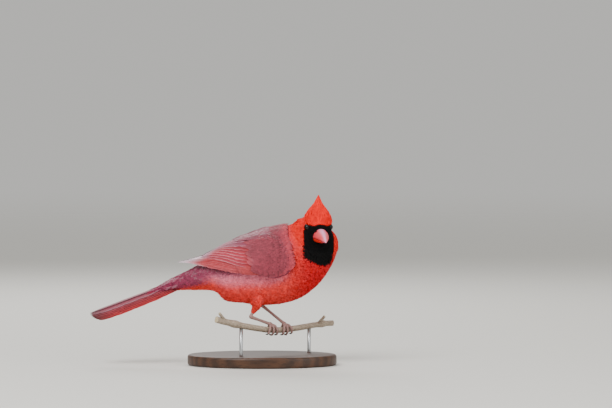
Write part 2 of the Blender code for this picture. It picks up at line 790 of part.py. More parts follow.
def vine_radii(course):
    """Slowly thinning, with a swelling at each old leaf joint."""
    length = np.linspace(0, 1, len(course))
    radii = VINE_RADIUS * (1.04 - 0.14 * length)
    for joint in (0.14, 0.86):
        radii += 0.6 * np.exp(-((length - joint) / 0.025) ** 2)
    return radii


def vine_at(x):
    """Middle of the vine, its direction and radius at a place along X."""
    course = vine_course()
    radii = vine_radii(course)
    middle = np.array([x] + [np.interp(x, course[:, 0], course[:, k]) for k in (1, 2)])
    ahead = np.array([x + 2] + [np.interp(x + 2, course[:, 0], course[:, k]) for k in (1, 2)])
    return middle, unit(ahead - middle), float(np.interp(x, course[:, 0], radii))


def build_perch(parts, pieces, look):
    course = vine_course()
    perch = tube("perch", course, vine_radii(course), parts, look, sides=10)
    start = vine_at(-29.5)[0]
    stub = start + np.array([(0.0, 0.0, 0.0), (-2.2, -3.0, 3.6), (-5.0, -5.5, 7.5)])
    tube("stub_low", stub, [1.7, 1.35, 1.2], pieces, sides=8)
    start = vine_at(46.5)[0]
    stub = start + np.array([(0.0, 0.0, 0.0), (2.4, -2.8, 3.4), (5.6, -5.0, 7.2)])
    tube("stub_high", stub, [1.5, 1.2, 1.0], pieces, sides=8)
    join(perch, pieces)
    return perch


def build_stand(parts, cutters, perch, wood, steel):
    bpy.ops.mesh.primitive_cylinder_add(vertices=36, radius=0.5, depth=1.0)
    base = bpy.context.object
    base.name = "stand_base"
    base.data.name = "stand_base"
    move_to(base, parts)
    size = Vector((BASE_LENGTH, BASE_WIDTH, BASE_HEIGHT)) * MM
    for vertex in base.data.vertices:
        vertex.co = Vector((vertex.co.x * size.x, vertex.co.y * size.y,
                            (vertex.co.z + 0.5) * size.z))
    base.data.materials.append(wood)
    bevel = base.modifiers.new("Rounded rim", "BEVEL")
    bevel.width = 2.2 * MM
    bevel.segments = 2
    bevel.limit_method = "ANGLE"
    base.data.shade_smooth()
    clearance = swollen(perch, GAP, cutters)
    for name, x in zip(("stand_rod_rear", "stand_rod_front"), ROD_PLACES):
        middle = vine_at(x)[0]
        foot = np.array([middle[0], middle[1], BASE_HEIGHT + GAP])
        rod = tube(name, [foot, middle], [ROD_RADIUS] * 2, parts, steel, sides=20)
        cut(rod, clearance)


# Legs and feet

def leg_places(side):
    """Foot joint and heel of a leg, worked out from where it stands on the vine."""
    leg = LEGS[side]
    middle, way, radius = vine_at(leg["foot_x"])
    up = unit(np.array([0, 0, 1.0]) - way * way[2])
    joint = middle + up * (radius + GAP + TOE_RADIUS + 0.5)
    return joint, np.array(leg["heel"])


def foot_frame(side):
    """Vine's direction, the way the toes point, and up, at one foot."""
    middle, way, radius = vine_at(LEGS[side]["foot_x"])
    up = unit(np.array([0, 0, 1.0]) - way * way[2])
    fore = np.cross(way, up)
    return middle, way, fore, up, radius


def toe_path(side, spread, start, end, steps):
    """A path around the vine from angle start to angle end, slipping along it."""
    middle, way, fore, up, radius = foot_frame(side)
    angles = np.radians(np.linspace(start, end, steps))
    share = np.linspace(0, 1, steps)
    reach = radius + GAP + TOE_RADIUS + 0.25
    return (middle + way * (spread * np.sin(share * np.pi / 2))[:, None]
            + fore * (reach * np.cos(angles))[:, None] + up * (reach * np.sin(angles))[:, None])


def add_toe(side, name, spread, start, end, pieces):
    steps = 6
    path = toe_path(side, spread, start, end, steps)
    pads = 1 + 0.12 * np.cos(np.linspace(0, 6 * np.pi, steps))
    radii = np.linspace(TOE_RADIUS, 0.82, steps) * pads
    tube(name, path, radii, pieces, sides=6)
    turn = 62.0 * (1 if end > start else -1)
    claw = toe_path(side, spread * 1.12, end - turn * 0.12, end + turn, 5)
    middle, way = foot_frame(side)[:2]
    inward = middle + way * spread - claw
    inward -= way * (inward @ way)[:, None]
    inward /= np.linalg.norm(inward, axis=1)[:, None]
    claw = claw + inward * np.linspace(0, 0.7, 5)[:, None]
    tube(name + "_claw", claw, [0.72, 0.74, 0.58, 0.38, 0.17], pieces, sides=5)


def build_leg(side, parts, pieces, cutters, clearances, leg_look, plumage):
    joint, heel = leg_places(side)
    toward = unit(heel - joint)
    foot = tube("foot_" + side, [joint - toward * 0.4, joint + toward * 0.8, joint + toward * 2.6],
                [1.7, 1.75, 1.35], parts, leg_look, sides=8)
    sign = 1 if side == "right" else -1
    add_toe(side, "inner_toe", 4.6 * sign, 100, -48, pieces)
    add_toe(side, "middle_toe", 0.3 * sign, 100, -72, pieces)
    add_toe(side, "outer_toe", -4.4 * sign, 100, -42, pieces)
    add_toe(side, "hind_toe", 0.6 * sign, 80, 205, pieces)
    join(foot, pieces)
    cut(foot, clearances["perch"])
    start = joint + toward * (2.6 + GAP)
    shares = np.linspace(0, 1, 11)
    scutes = np.where(np.arange(11) % 2 == 0, 0.06, -0.05)
    shape = np.interp(shares, [0, 0.1, 0.5, 0.88, 1.0], [1.1, 1.0, 0.92, 1.15, 1.3])
    knee = np.array(LEGS[side]["knee"])
    rise = unit(knee - heel)
    bare = LEGS[side]["bare"]
    path = start + (heel - start) * shares[:, None]
    radii = TARSUS_RADIUS * (shape + scutes)
    if bare:
        path = np.vstack([path, heel + rise * bare / 2, heel + rise * bare])
        radii = np.append(radii, [TARSUS_RADIUS * 1.2] * 2)
    tarsus = tube("tarsus_" + side, path, radii, parts, leg_look)
    shares = np.linspace(0, 1, 7)
    end = heel + rise * (bare + 0.6)
    path = knee + (end - knee) * shares[:, None]
    radii = np.interp(shares, [0, 0.5, 0.85, 1.0], [5.2, 4.4, 2.7, 1.6])
    thigh = tube("thigh_" + side, path, radii, parts, plumage, sides=12)
    cut(thigh, clearances["trunk"])
    cut(thigh, swollen(tarsus, GAP, cutters))


def build():
    clear_scene()
    parts = new_collection("northern_cardinal")
    cutters = new_collection("cutters")
    pieces = new_collection("pieces_to_join")
    plumage = material("plumage", 0.75)
    wing_look = material("wing", 0.7)
    tail_look = material("tail", 0.7)
    bill_look = material("bill", 0.35)
    eye_look = material("eye", 0.08)
    leg_look = material("leg", 0.55)
    vine_look = material("vine", 0.85)
    wood = material("wood", 0.45)
    steel = material("steel", 0.3, 1.0)

    trunk, trunk_clearance = split_trunk(parts, pieces, cutters, plumage, tail_look)
    head = trunk["head"]
    for side, (centre, out) in eye_places(head).items():
        lid("lid_" + side, centre, out, pieces)
        ball("eye_" + side, centre, EYE_RADIUS, parts, eye_look)
    crest_core(pieces)
    crest_feathers(pieces)
    join(head, pieces)
    cut_by_plane(head, JAW_POINT + JAW_NORMAL * (GAP / 2 + 0.02), -JAW_NORMAL)
    for side in ("right", "left"):
        cut(head, swollen(bpy.data.objects["eye_" + side], GAP, cutters))
    upper = bill_half("bill_upper", parts, bill_look, True)
    lower = bill_half("bill_lower", parts, bill_look, False)
    for half in (upper, lower):
        cut(head, swollen(half, GAP, cutters))
    for pit in nostril_cutters(cutters):
        cut(upper, pit)

    tail_feathers(pieces)
    join(trunk["tail"], pieces)
    cut_by_plane(trunk["tail"], np.array(TAIL_ROOT) + TAIL_DIRECTION * (GAP / 2 + 0.02),
                 -TAIL_DIRECTION)
    build_wings(parts, pieces, trunk["torso"], trunk_clearance, wing_look)

    perch = build_perch(parts, pieces, vine_look)
    build_stand(parts, cutters, perch, wood, steel)
    clearances = {"trunk": trunk_clearance, "perch": swollen(perch, GAP, cutters)}
    for side in ("right", "left"):
        build_leg(side, parts, pieces, cutters, clearances, leg_look, plumage)
    for cutter in list(cutters.objects):
        bpy.data.objects.remove(cutter, do_unlink=True)
    bpy.data.collections.remove(pieces)


build()
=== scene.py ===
"""Looks of the male northern cardinal, life size, on its cut vine and display stand.

Lengths are written in millimetres and become metres where a mesh is made. The bird stands
along +X with its right side towards -Y, where the camera is, and looks out over that side.
"""
import math

import bpy
import numpy as np
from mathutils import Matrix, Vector
from mathutils.bvhtree import BVHTree


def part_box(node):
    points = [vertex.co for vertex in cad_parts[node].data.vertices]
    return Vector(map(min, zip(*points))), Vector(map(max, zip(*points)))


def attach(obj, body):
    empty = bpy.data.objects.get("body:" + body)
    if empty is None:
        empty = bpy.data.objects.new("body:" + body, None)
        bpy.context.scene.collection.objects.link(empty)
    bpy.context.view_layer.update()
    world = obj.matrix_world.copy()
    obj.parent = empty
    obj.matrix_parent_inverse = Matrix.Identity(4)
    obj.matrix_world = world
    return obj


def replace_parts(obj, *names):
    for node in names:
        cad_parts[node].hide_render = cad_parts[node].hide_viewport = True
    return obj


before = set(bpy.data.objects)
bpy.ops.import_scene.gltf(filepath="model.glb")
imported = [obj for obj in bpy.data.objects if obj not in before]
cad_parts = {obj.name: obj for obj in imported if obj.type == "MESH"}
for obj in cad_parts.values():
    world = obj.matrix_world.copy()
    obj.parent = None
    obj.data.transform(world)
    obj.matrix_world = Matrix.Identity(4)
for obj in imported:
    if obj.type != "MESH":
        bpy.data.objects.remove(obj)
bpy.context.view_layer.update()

# Floor, lights and camera
# The real setting is a plain studio table: a pale matt sheet that runs out of sight, lit by
# three large soft lamps. The camera looks nearly level through a long lens, as in the photo.


def linear(hex_colour):
    """The linear RGBA of an sRGB hex colour."""
    value = np.array([int(hex_colour[i:i + 2], 16) for i in (0, 2, 4)]) / 255
    value = np.where(value <= 0.04045, value / 12.92, ((value + 0.055) / 1.055) ** 2.4)
    return (*value.tolist(), 1.0)


def rgb(hex_colour):
    return np.array(linear(hex_colour)[:3])


def finish_named(name, sockets):
    """A new material whose shader has these values on its own sockets."""
    made = bpy.data.materials.new(name)
    made.use_nodes = True
    shader = made.node_tree.nodes["Principled BSDF"]
    for key, value in sockets.items():
        shader.inputs[key].default_value = value
    return made, made.node_tree, shader


def add(tree, kind, inputs=None, **settings):
    """Adds one node; an input given as a socket is linked, anything else is its value."""
    node = tree.nodes.new("ShaderNode" + kind)
    for key, value in settings.items():
        setattr(node, key, value)
    for key, value in (inputs or {}).items():
        if isinstance(value, bpy.types.NodeSocket):
            tree.links.new(value, node.inputs[key])
        else:
            node.inputs[key].default_value = value
    return node


def full_turn(sides):
    """Angles evenly round a circle."""
    return np.linspace(0, 2 * np.pi, sides, endpoint=False)


def object_place(tree):
    return add(tree, "TexCoord").outputs["Object"]


def placed(name, data):
    """A new object in the scene with this data."""
    thing = bpy.data.objects.new(name, data)
    bpy.context.scene.collection.objects.link(thing)
    return thing


MODEL_MIDDLE = Vector((0.0, 0.0, 0.09))
# Lamps: name, place, width in metres and watts.
for name, place, size, watts in (("key_lamp", (-0.55, -0.95, 1.15), 0.9, 21.0),
                                 ("fill_lamp", (1.0, -0.8, 0.55), 1.0, 7.0),
                                 ("rim_lamp", (-0.2, 1.0, 0.9), 0.8, 9.0)):
    light = bpy.data.lights.new(name, "AREA")
    light.shape, light.size, light.energy = "DISK", size, watts
    lamp = placed(name, light)
    lamp.location = place
    lamp.rotation_euler = (MODEL_MIDDLE - Vector(place)).to_track_quat("-Z", "Y").to_euler()

world = bpy.data.worlds.new("studio_air")
world.use_nodes = True
air = world.node_tree.nodes["Background"].inputs
air["Color"].default_value, air["Strength"].default_value = linear("e3e2de"), 0.75
bpy.context.scene.world = world

# Matt paper, faded out far from the model so that no horizon shows.
FLOOR_RADIUS = 6.0
paper, tree, shader = finish_named("pale matt paper", {"Roughness": 0.95,
                                                       "Base Color": linear("dedcd6")})
span = add(tree, "VectorMath", {0: object_place(tree)}, operation="LENGTH")
fade = add(tree, "MapRange", {"Value": span.outputs["Value"], "From Min": 0.35,
                              "From Max": 5.0}, interpolation_type="SMOOTHSTEP")
mixed = add(tree, "MixShader", {0: fade.outputs[0], 1: shader.outputs[0],
                                2: add(tree, "BsdfTransparent").outputs[0]})
tree.links.new(mixed.outputs[0], tree.nodes["Material Output"].inputs["Surface"])
turn = full_turn(64)
floor_mesh = bpy.data.meshes.new("floor")
floor_mesh.from_pydata((FLOOR_RADIUS * np.stack([np.cos(turn), np.sin(turn), 0 * turn],
                                                1)).tolist(), [], [list(range(len(turn)))])
floor_mesh.materials.append(paper)
floor = placed("floor", floor_mesh)

FRAME_MIDDLE = np.array([0.0365, 0.0, 0.1339])      # what lies at the middle of the photo
FRAME_WIDTH = 0.508                                  # what the photo's width takes in there
ELEVATION = math.radians(2.0)
camera_data = bpy.data.cameras.new("long_lens")
camera_data.lens, camera_data.sensor_width = 200.0, 36.0
camera = placed("long_lens", camera_data)
reach = FRAME_WIDTH * camera_data.lens / camera_data.sensor_width
camera.location = FRAME_MIDDLE + reach * np.array([0, -math.cos(ELEVATION),
                                                   math.sin(ELEVATION)])
camera.rotation_euler = (math.pi / 2 - ELEVATION, 0.0, 0.0)
bpy.context.scene.camera = camera

# Skin
# One skin runs from the crown to the root of the tail and down both thighs, as on the living
# bird. It is thin, red and dull, shows only between feathers, and lies inside the solids by
# the depth of the coat.

MM = 0.001
# Trunk cross-sections: lowest point (x, z), highest point (x, z), half width, shift to the
# left, and how far the upper part is drawn in.
BODY_SECTIONS = [
    (-97.0, 56.5, -98.0, 60.5, 4.5, 0.0, 0.0), (-84.0, 57.5, -86.0, 67.0, 7.5, 0.0, 0.0),
    (-72.0, 61.2, -75.0, 73.2, 10.0, 0.0, 0.0), (-56.0, 61.8, -60.0, 80.5, 13.5, 0.0, 0.0),
    (-40.0, 60.6, -43.5, 90.0, 18.0, 0.0, 0.0), (-28.5, 52.9, -33.0, 96.5, 21.3, 0.0, 0.0),
    (-15.0, 50.9, -20.0, 103.0, 23.2, 0.0, 0.0), (5.0, 49.3, -2.0, 111.5, 24.0, 0.0, 0.0),
    (28.0, 53.6, 14.0, 116.0, 23.5, 0.0, 0.1), (45.5, 65.0, 22.5, 117.4, 21.0, 0.0, 0.35),
    (58.0, 82.0, 27.0, 119.0, 16.5, 0.0, 0.62), (63.9, 99.0, 30.5, 121.6, 12.8, 0.0, 0.55),
    (60.6, 109.5, 32.0, 122.6, 10.5, 1.5, 0.3), (54.0, 115.0, 37.0, 121.0, 6.0, 2.0, 0.0),
]
# Skull, in the head's frame: how far ahead, half width, top and underside.
SKULL_SECTIONS = [
    (-14.5, 4.0, 7.5, -0.5), (-12.0, 8.6, 11.6, -6.0), (-8.0, 11.6, 14.6, -10.0),
    (-2.0, 11.8, 14.8, -12.3), (2.5, 11.6, 13.4, -13.0), (6.5, 10.6, 10.4, -12.4),
    (9.5, 8.6, 6.8, -11.0), (11.6, 5.6, 3.4, -8.6),
]
# The crest's low core: height, half length, half width and how far behind the middle.
CREST_CORE = [(8.0, 9.4, 9.6, 1.4), (12.2, 7.8, 8.8, 2.4), (15.5, 6.0, 6.6, 3.4),
              (18.9, 3.6, 3.4, 4.8), (21.0, 1.5, 1.2, 5.6)]
HEAD_MIDDLE = np.array([46.0, -4.0, 112.0])
HEAD_TURN, HEAD_BOW = math.radians(15.5), math.radians(10.0)
THIGHS = {"right": np.array([(1.0, -10.5, 60.0), (-9.5, -16.0, 41.2)]),
          "left": np.array([(9.0, 11.0, 62.0), (-1.2, 10.0, 49.8)])}     # knee and heel
BARE_ABOVE_HEEL = {"right": 2.2, "left": 0.0}


def smooth_rows(rows, per_span):
    """Rows of numbers with in-between rows on a Catmull-Rom curve through them."""
    rows = np.asarray(rows, float)
    padded = np.vstack([2 * rows[0] - rows[1], rows, 2 * rows[-1] - rows[-2]])
    a, b, c, d = (padded[k:k + len(rows) - 1, None] for k in range(4))
    t = (np.arange(per_span) / per_span)[None, :, None]
    spans = 0.5 * (2 * b + (c - a) * t + (2 * a - 5 * b + 4 * c - d) * t ** 2
                   + (3 * b - a - 3 * c + d) * t ** 3)
    return np.vstack([spans.reshape(-1, rows.shape[1]), rows[-1:]])


def unit(vectors):
    vectors = np.asarray(vectors, float)
    return vectors / np.maximum(np.linalg.norm(vectors, axis=-1, keepdims=True), 1e-12)


def step(value, low, high):
    """0 below low, 1 above high and smooth between."""
    t = np.clip((np.asarray(value, float) - low) / (high - low), 0, 1)
    return t * t * (3 - 2 * t)


flat_ahead = np.array([math.sin(HEAD_TURN), -math.cos(HEAD_TURN), 0.0])
AHEAD = flat_ahead * math.cos(HEAD_BOW) - np.array([0, 0, math.sin(HEAD_BOW)])
UP = flat_ahead * math.sin(HEAD_BOW) + np.array([0, 0, math.cos(HEAD_BOW)])
LEFT = np.cross(UP, AHEAD)


def in_head(ahead, left, up):
    """World places of points given by their distances ahead, left and up in the head."""
    ahead, left, up = (np.asarray(value, float)[..., None] for value in (ahead, left, up))
    return HEAD_MIDDLE + ahead * AHEAD + left * LEFT + up * UP


def trunk_rings(per_section, sides):
    """Ovals along the trunk: middle + sin(turn) x rise - cos(turn) x drawn-in half width."""
    rows = smooth_rows(BODY_SECTIONS, per_section)
    turn = full_turn(sides)
    low = np.stack([rows[:, 0], 0 * rows[:, 0], rows[:, 1]], 1)[:, None]
    high = np.stack([rows[:, 2], 0 * rows[:, 0], rows[:, 3]], 1)[:, None]
    sine, cosine = np.sin(turn)[None, :, None], np.cos(turn)[None, :, None]
    drawn_in = 1 - rows[:, 6, None, None] * np.clip(sine, 0, 1) ** 2
    across = np.array([0.0, 1.0, 0.0])
    return ((low + high) / 2 + sine * (high - low) / 2
            + across * (rows[:, 5, None, None] - cosine * drawn_in * rows[:, 4, None, None]))


def skull_rings(per_section, sides):
    """Ovals across the skull, a little squared, from its back to the root of the bill."""
    rows = smooth_rows(SKULL_SECTIONS, per_section)
    turn = full_turn(sides)[None]
    across = np.sign(np.cos(turn)) * np.abs(np.cos(turn)) ** 0.85
    height = (rows[:, 2:3] + rows[:, 3:4]) / 2 + (rows[:, 2:3] - rows[:, 3:4]) / 2 * np.sin(turn)
    return in_head(rows[:, 0:1] + 0 * turn, rows[:, 1:2] * across, height)


def core_rings(sides):
    rows = smooth_rows(CREST_CORE, 4)
    turn = full_turn(sides)[None]
    return in_head(rows[:, 1:2] * np.cos(turn) - rows[:, 3:4], rows[:, 2:3] * np.sin(turn),
                   rows[:, 0:1] + 0 * turn)


def tube_rings(path, radii, sides):
    """Circles of the given radii square to a path, turned without twist along it."""
    path, radii = np.asarray(path, float), np.asarray(radii, float)
    ways = unit(np.gradient(path, axis=0))
    side = np.cross(ways[0], (0.0, 0.0, 1.0))
    if np.linalg.norm(side) < 0.1:
        side = np.cross(ways[0], (0.0, 1.0, 0.0))
    sides_along = []
    for way in ways:
        side = unit(side - way * (side @ way))
        sides_along.append(side)
    across = np.array(sides_along)[:, None]
    rise = np.cross(across, ways[:, None])
    turn = full_turn(sides)[None, :, None]
    radii = radii[:, None, None] if radii.ndim == 1 else radii[..., None]
    return path[:, None] + (across * np.cos(turn) + rise * np.sin(turn)) * radii


def ring_solid(rings):
    """Points and triangles of a closed skin over rings, with a fan at each end."""
    count, sides = rings.shape[:2]
    grid = np.arange(count * sides).reshape(count, sides)
    near, far = grid[:-1], grid[1:]
    near_next, far_next = np.roll(near, -1, 1), np.roll(far, -1, 1)
    start, end = count * sides, count * sides + 1
    first, last = grid[0], grid[-1]
    faces = np.concatenate([
        np.stack([near, near_next, far_next], -1).reshape(-1, 3),
        np.stack([near, far_next, far], -1).reshape(-1, 3),
        np.stack([np.full(sides, start), np.roll(first, -1), first], -1),
        np.stack([np.full(sides, end), last, np.roll(last, -1)], -1)])
    points = np.vstack([rings.reshape(-1, 3), rings[0].mean(0), rings[-1].mean(0)])
    corners = points[faces]
    volume = np.einsum("ij,ij->", corners[:, 0], np.cross(corners[:, 1], corners[:, 2]))
    return points, faces if volume > 0 else faces[:, ::-1]


def joined(solids):
    """Several (points, faces) as one."""
    starts = np.cumsum([0] + [len(points) for points, _ in solids[:-1]])
    return (np.vstack([points for points, _ in solids]),
            np.vstack([faces + start for (_, faces), start in zip(solids, starts)]))


def mesh_piece(name, points, faces, finish, slot, tint=None, maps=None):
    """A shown piece from arrays of points in millimetres and of faces of equal size.

    tint is a colour at each point; maps gives each point's place in named UV maps.
    """
    mesh = bpy.data.meshes.new(name)
    mesh.vertices.add(len(points))
    mesh.vertices.foreach_set("co", (points * MM).astype(np.float32).ravel())
    mesh.loops.add(faces.size)
    mesh.loops.foreach_set("vertex_index", faces.astype(np.int32).ravel())
    mesh.polygons.add(len(faces))
    mesh.polygons.foreach_set("loop_start", np.arange(0, faces.size, faces.shape[1]))
    mesh.polygons.foreach_set("use_smooth", np.full(len(faces), True))
    mesh.update(calc_edges=True)
    if tint is not None:
        layer = mesh.color_attributes.new("Tint", "FLOAT_COLOR", "POINT")
        rgba = np.concatenate([tint, np.ones((len(tint), 1))], 1)
        layer.data.foreach_set("color", rgba.astype(np.float32).ravel())
    for map_name, places in (maps or {}).items():
        layer = mesh.uv_layers.new(name=map_name)
        per_corner = places[faces.ravel()] if len(places) == len(points) else places
        layer.uv.foreach_set("vector", per_corner.astype(np.float32).ravel())
    mesh.materials.append(finish)
    thing = placed(name, mesh)
    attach(thing, "root")
    return thing


def remeshed(points, faces, voxel):
    """The outside of overlapping solids as one even net of quads, in millimetres."""
    mesh = bpy.data.meshes.new("forms")
    mesh.from_pydata((points * MM).tolist(), [], faces.tolist())
    thing = placed("forms", mesh)
    modifier = thing.modifiers.new("Even net", "REMESH")
    modifier.mode, modifier.voxel_size = "VOXEL", voxel * MM
    net = thing.evaluated_get(bpy.context.evaluated_depsgraph_get()).to_mesh()
    spots = np.zeros(len(net.vertices) * 3)
    net.vertices.foreach_get("co", spots)
    corners = np.zeros(len(net.loops), np.int64)
    net.loops.foreach_get("vertex_index", corners)
    thing.to_mesh_clear()
    bpy.data.objects.remove(thing)
    return spots.reshape(-1, 3) / MM, corners.reshape(-1, 4)


def summed(index, rows, count):
    """Sums of the rows that share an index."""
    return np.stack([np.bincount(index, rows[:, k], count) for k in range(3)], 1)


def relaxed(points, quads, rounds):
    """Each point moved half way to its neighbours' mean, the given number of times."""
    ends = np.concatenate([quads[:, [k, (k + 1) % 4]] for k in range(4)])
    ends = np.concatenate([ends, ends[:, ::-1]])
    share = np.bincount(ends[:, 0], minlength=len(points))[:, None]
    for _ in range(rounds):
        total = summed(ends[:, 0], points[ends[:, 1]], len(points))
        points = points * 0.5 + total / share * 0.5
    return points


def point_normals(points, quads):
    """Mean direction of the faces round each point."""
    corner = points[quads]
    facing = np.cross(corner[:, 2] - corner[:, 0], corner[:, 3] - corner[:, 1])
    return unit(summed(quads.ravel(), np.repeat(facing, 4, 0), len(points)))


def head_place(points):
    """Distances ahead, left and up in the head of world points."""
    offset = points - HEAD_MIDDLE
    return offset @ AHEAD, offset @ LEFT, offset @ UP


def thigh_share(points):
    """How much a point belongs to a thigh, with the way and the place down that thigh."""
    best, ways, places = np.zeros(len(points)), np.zeros((len(points), 3)), np.zeros(len(points))
    for knee, heel in THIGHS.values():
        way = heel - knee
        along = (points - knee) @ way / (way @ way)
        off = np.linalg.norm(points - knee - along[:, None] * way, axis=1)
        width = 6.6 - 3.4 * np.clip(along, 0, 1)
        share = step(along, 0.30, 0.55) * (1 - step(off, width, width + 1.6))
        chosen = share > best
        best = np.where(chosen, share, best)
        ways = np.where(chosen[:, None], unit(way), ways)
        places = np.where(chosen, along, places)
    return best, ways, places


def from_head(points):
    return np.linalg.norm(points - HEAD_MIDDLE, axis=1)


def coat_depth(points):
    """Thickness of the coat of small feathers: least on the face and down the legs."""
    on_head = 1 - step(from_head(points), 16, 26)
    face = on_head * step(head_place(points)[0], -2, 6)
    return 1.5 - 0.55 * on_head - 0.35 * face - 0.8 * thigh_share(points)[0]


VOXEL = 0.85
trunk = ring_solid(trunk_rings(5, 72))
forms = [trunk, ring_solid(skull_rings(5, 56)), ring_solid(core_rings(28))]
for side, (knee, heel) in THIGHS.items():
    share = np.linspace(0, 1, 24)[:, None]
    end = heel + unit(knee - heel) * (BARE_ABOVE_HEEL[side] + 0.6)
    radii = np.interp(share[:, 0], [0, 0.5, 0.85, 1.0], [5.2, 4.4, 2.7, 1.6])
    forms.append(ring_solid(tube_rings(knee + (end - knee) * share, radii, 24)))
surface, skin_quads = remeshed(*joined(forms), VOXEL)
surface = relaxed(surface, skin_quads, 9)
out_of_skin = point_normals(surface, skin_quads)
skin_points = relaxed(surface - out_of_skin * coat_depth(surface)[:, None], skin_quads, 3)

BLOCK = 400                                 # points worked out at a time


def nearest(points, targets):
    """Number of the closest target for each point, worked out in blocks."""
    squares = (targets ** 2).sum(1)
    return np.concatenate([np.argmin(squares - 2 * points[k:k + BLOCK] @ targets.T, 1)
                           for k in range(0, len(points), BLOCK)])


LIE_RINGS, LIE_SIDES = 5, 48
lie_net = trunk_rings(LIE_RINGS, LIE_SIDES)
lie_ways = unit(np.roll(lie_net, 1, 0) - np.roll(lie_net, -1, 0))
lie_ways[0], lie_ways[-1] = lie_ways[1], lie_ways[-2]
BILL_ROOT = in_head(9.5, 0.0, -3.4)


def lie_of_coat(points, out):
    """The way feathers lie: back from the bill over the head, then down the trunk's length."""
    down = lie_ways.reshape(-1, 3)[nearest(points, lie_net.reshape(-1, 3))]
    on_head = (1 - step(from_head(points), 13, 25))[:, None]
    lie = unit(points - BILL_ROOT) * on_head + down * (1 - on_head)
    leg, way, _ = thigh_share(points)
    lie = lie * (1 - leg[:, None]) + way * leg[:, None]
    return unit(lie - out * (lie * out).sum(1)[:, None])


# The unwrap: the trunk is cut open along its underside and laid flat, the head is laid out
# as a globe, and each thigh as a strip. Each chart has its own part of the map.
def chart_of(points):
    return np.where(thigh_share(points)[0] > 0.5, 2, np.where(from_head(points) < 19, 1, 0))


def unwrapped(points, chart, middles):
    """Places on the unwrap; middles keep the corners of one face on one side of the cut."""
    def measures(spots):
        index = nearest(spots, lie_net.reshape(-1, 3))
        ahead, left, up = head_place(spots)
        return (index // LIE_SIDES / len(lie_net), (index % LIE_SIDES + 12) % LIE_SIDES
                / LIE_SIDES, np.arctan2(left, ahead) / (2 * np.pi) + 0.5,
                np.arctan2(up, np.hypot(ahead, left)))

    along, around, turned, raised = measures(points)
    _, around_middle, turned_middle, _ = measures(middles)
    around = around + np.round(around_middle - around)
    turned = turned + np.round(turned_middle - turned)
    down = thigh_share(points)[2]
    charts = np.stack([
        np.stack([0.03 + 0.55 * along, 0.05 + 0.88 * around], 1),
        np.stack([0.63 + 0.32 * turned, 0.5 + 0.29 * raised], 1),
        np.stack([0.97 + 0 * down, 0.1 + 0.3 * down], 1)])
    return np.clip(charts[chart, np.arange(len(points))], 0.002, 0.998)


# Plumage colours
# The male's red comes from carotenoids in the barbs, so it is clear and warm on the head and
# belly, and dulled to a dusky rose on the back where grey fringes overlie it. The mask is
# black. Skin and coat both take their colour from here.

CROWN, CHEEK, NAPE = rgb("fc1008"), rgb("e82014"), rgb("f04454")
BREAST, BELLY, FLANK = rgb("ce1622"), rgb("f0423c"), rgb("e88ca8")
MANTLE, RUMP, VENT = rgb("963e57"), rgb("8c3550"), rgb("e63c2c")
MASK, PALE_FRINGE = rgb("060607"), rgb("cfa7b4")


def laid_over(base, colour, share):
    return base * (1 - share[:, None]) + colour * share[:, None]


def mask_share(points):
    """The black mask: round the bill to the eyes, and down the throat as a rounded bib."""
    ahead, left, up = head_place(points)
    middle = np.interp(up, [-24.8, -24.2, -23.0, -21.5, -18.8, -8.0, 0.0],
                       [4.6, 3.9, 3.5, 2.6, -0.9, -1.0, -0.1])
    half = np.interp(up, [-25.3, -24.8, -24.2, -23.0, -21.5, -18.8, -8.0, 0.0, 6.5],
                     [0.0, 4.2, 5.9, 7.5, 8.9, 13.0, 12.9, 12.5, 12.0])
    brow = np.interp(np.abs(left), [0, 2.5, 6, 9.5, 12], [6.9, 6.7, 5.5, 6.0, 5.4])
    inside = np.minimum(half - np.abs(left - middle), brow - up)
    front = ahead - np.interp(up, [-28, -16, -8, 3], [10.0, 4.0, 0.5, 2.6])
    return step(np.minimum(inside, front), -0.4, 0.5)


def plumage_colour(points, out):
    """Colour of the plumage at places on the skin; its borders are in x, z and on the head.

    The regions are laid one over another, each with a soft border a few millimetres wide.
    """
    x, _, z = points.T
    on_head = 1 - step(from_head(points), 17, 27)
    below = step(out[:, 2], 0.1, -0.75)
    middle = np.interp(x, [-97, -60, -30, 30], [60, 69, 74, 84])
    flank_low = np.interp(x, [-50, -20, 10, 30], [61, 60, 63, 70])
    rear = step(x, -34, -52)
    above = step(z, middle - 5.5, middle - 1.0)
    colour = np.tile(BELLY, (len(points), 1))
    for over, share in (
            (BREAST, step(x, 18, 44) * (1 - on_head)),
            (FLANK, 0.8 * step(z, flank_low, flank_low + 9) * step(x, 30, 14) * (1 - below)),
            (MANTLE, step(z, middle - 2, middle + 5) * step(x, 26, 20)),
            (RUMP, rear * above), (VENT, rear * (1 - above)),
            (NAPE, step(x, 20, 26) * step(z, 96, 104) * (1 - on_head) * 0.85),
            (CHEEK, on_head), (CROWN, on_head * step(head_place(points)[2], 1, 8)),
            (VENT, thigh_share(points)[0] * 0.5), (MASK, mask_share(points))):
        colour = laid_over(colour, over, share)
    return colour


def own_tint(tree):
    return add(tree, "Attribute", attribute_name="Tint").outputs["Color"]


def noise(tree, place, scale, detail=2.0):
    """A cloudy pattern with this many clouds a metre, or a unit of the map it lies on."""
    return add(tree, "TexNoise", {"Vector": place, "Scale": scale,
                                  "Detail": detail}).outputs["Fac"]


def ranged(tree, value, low, high, dark, light):
    """A value between low and high moved to between dark and light."""
    return add(tree, "MapRange", {"Value": value, "From Min": low, "From Max": high,
                                  "To Min": dark, "To Max": light}).outputs[0]


def painted(tree, shader, colour, light):
    """Gives the shader this colour times this light."""
    coloured = add(tree, "VectorMath", {0: colour, "Scale": light}, operation="SCALE")
    tree.links.new(coloured.outputs[0], shader.inputs["Base Color"])


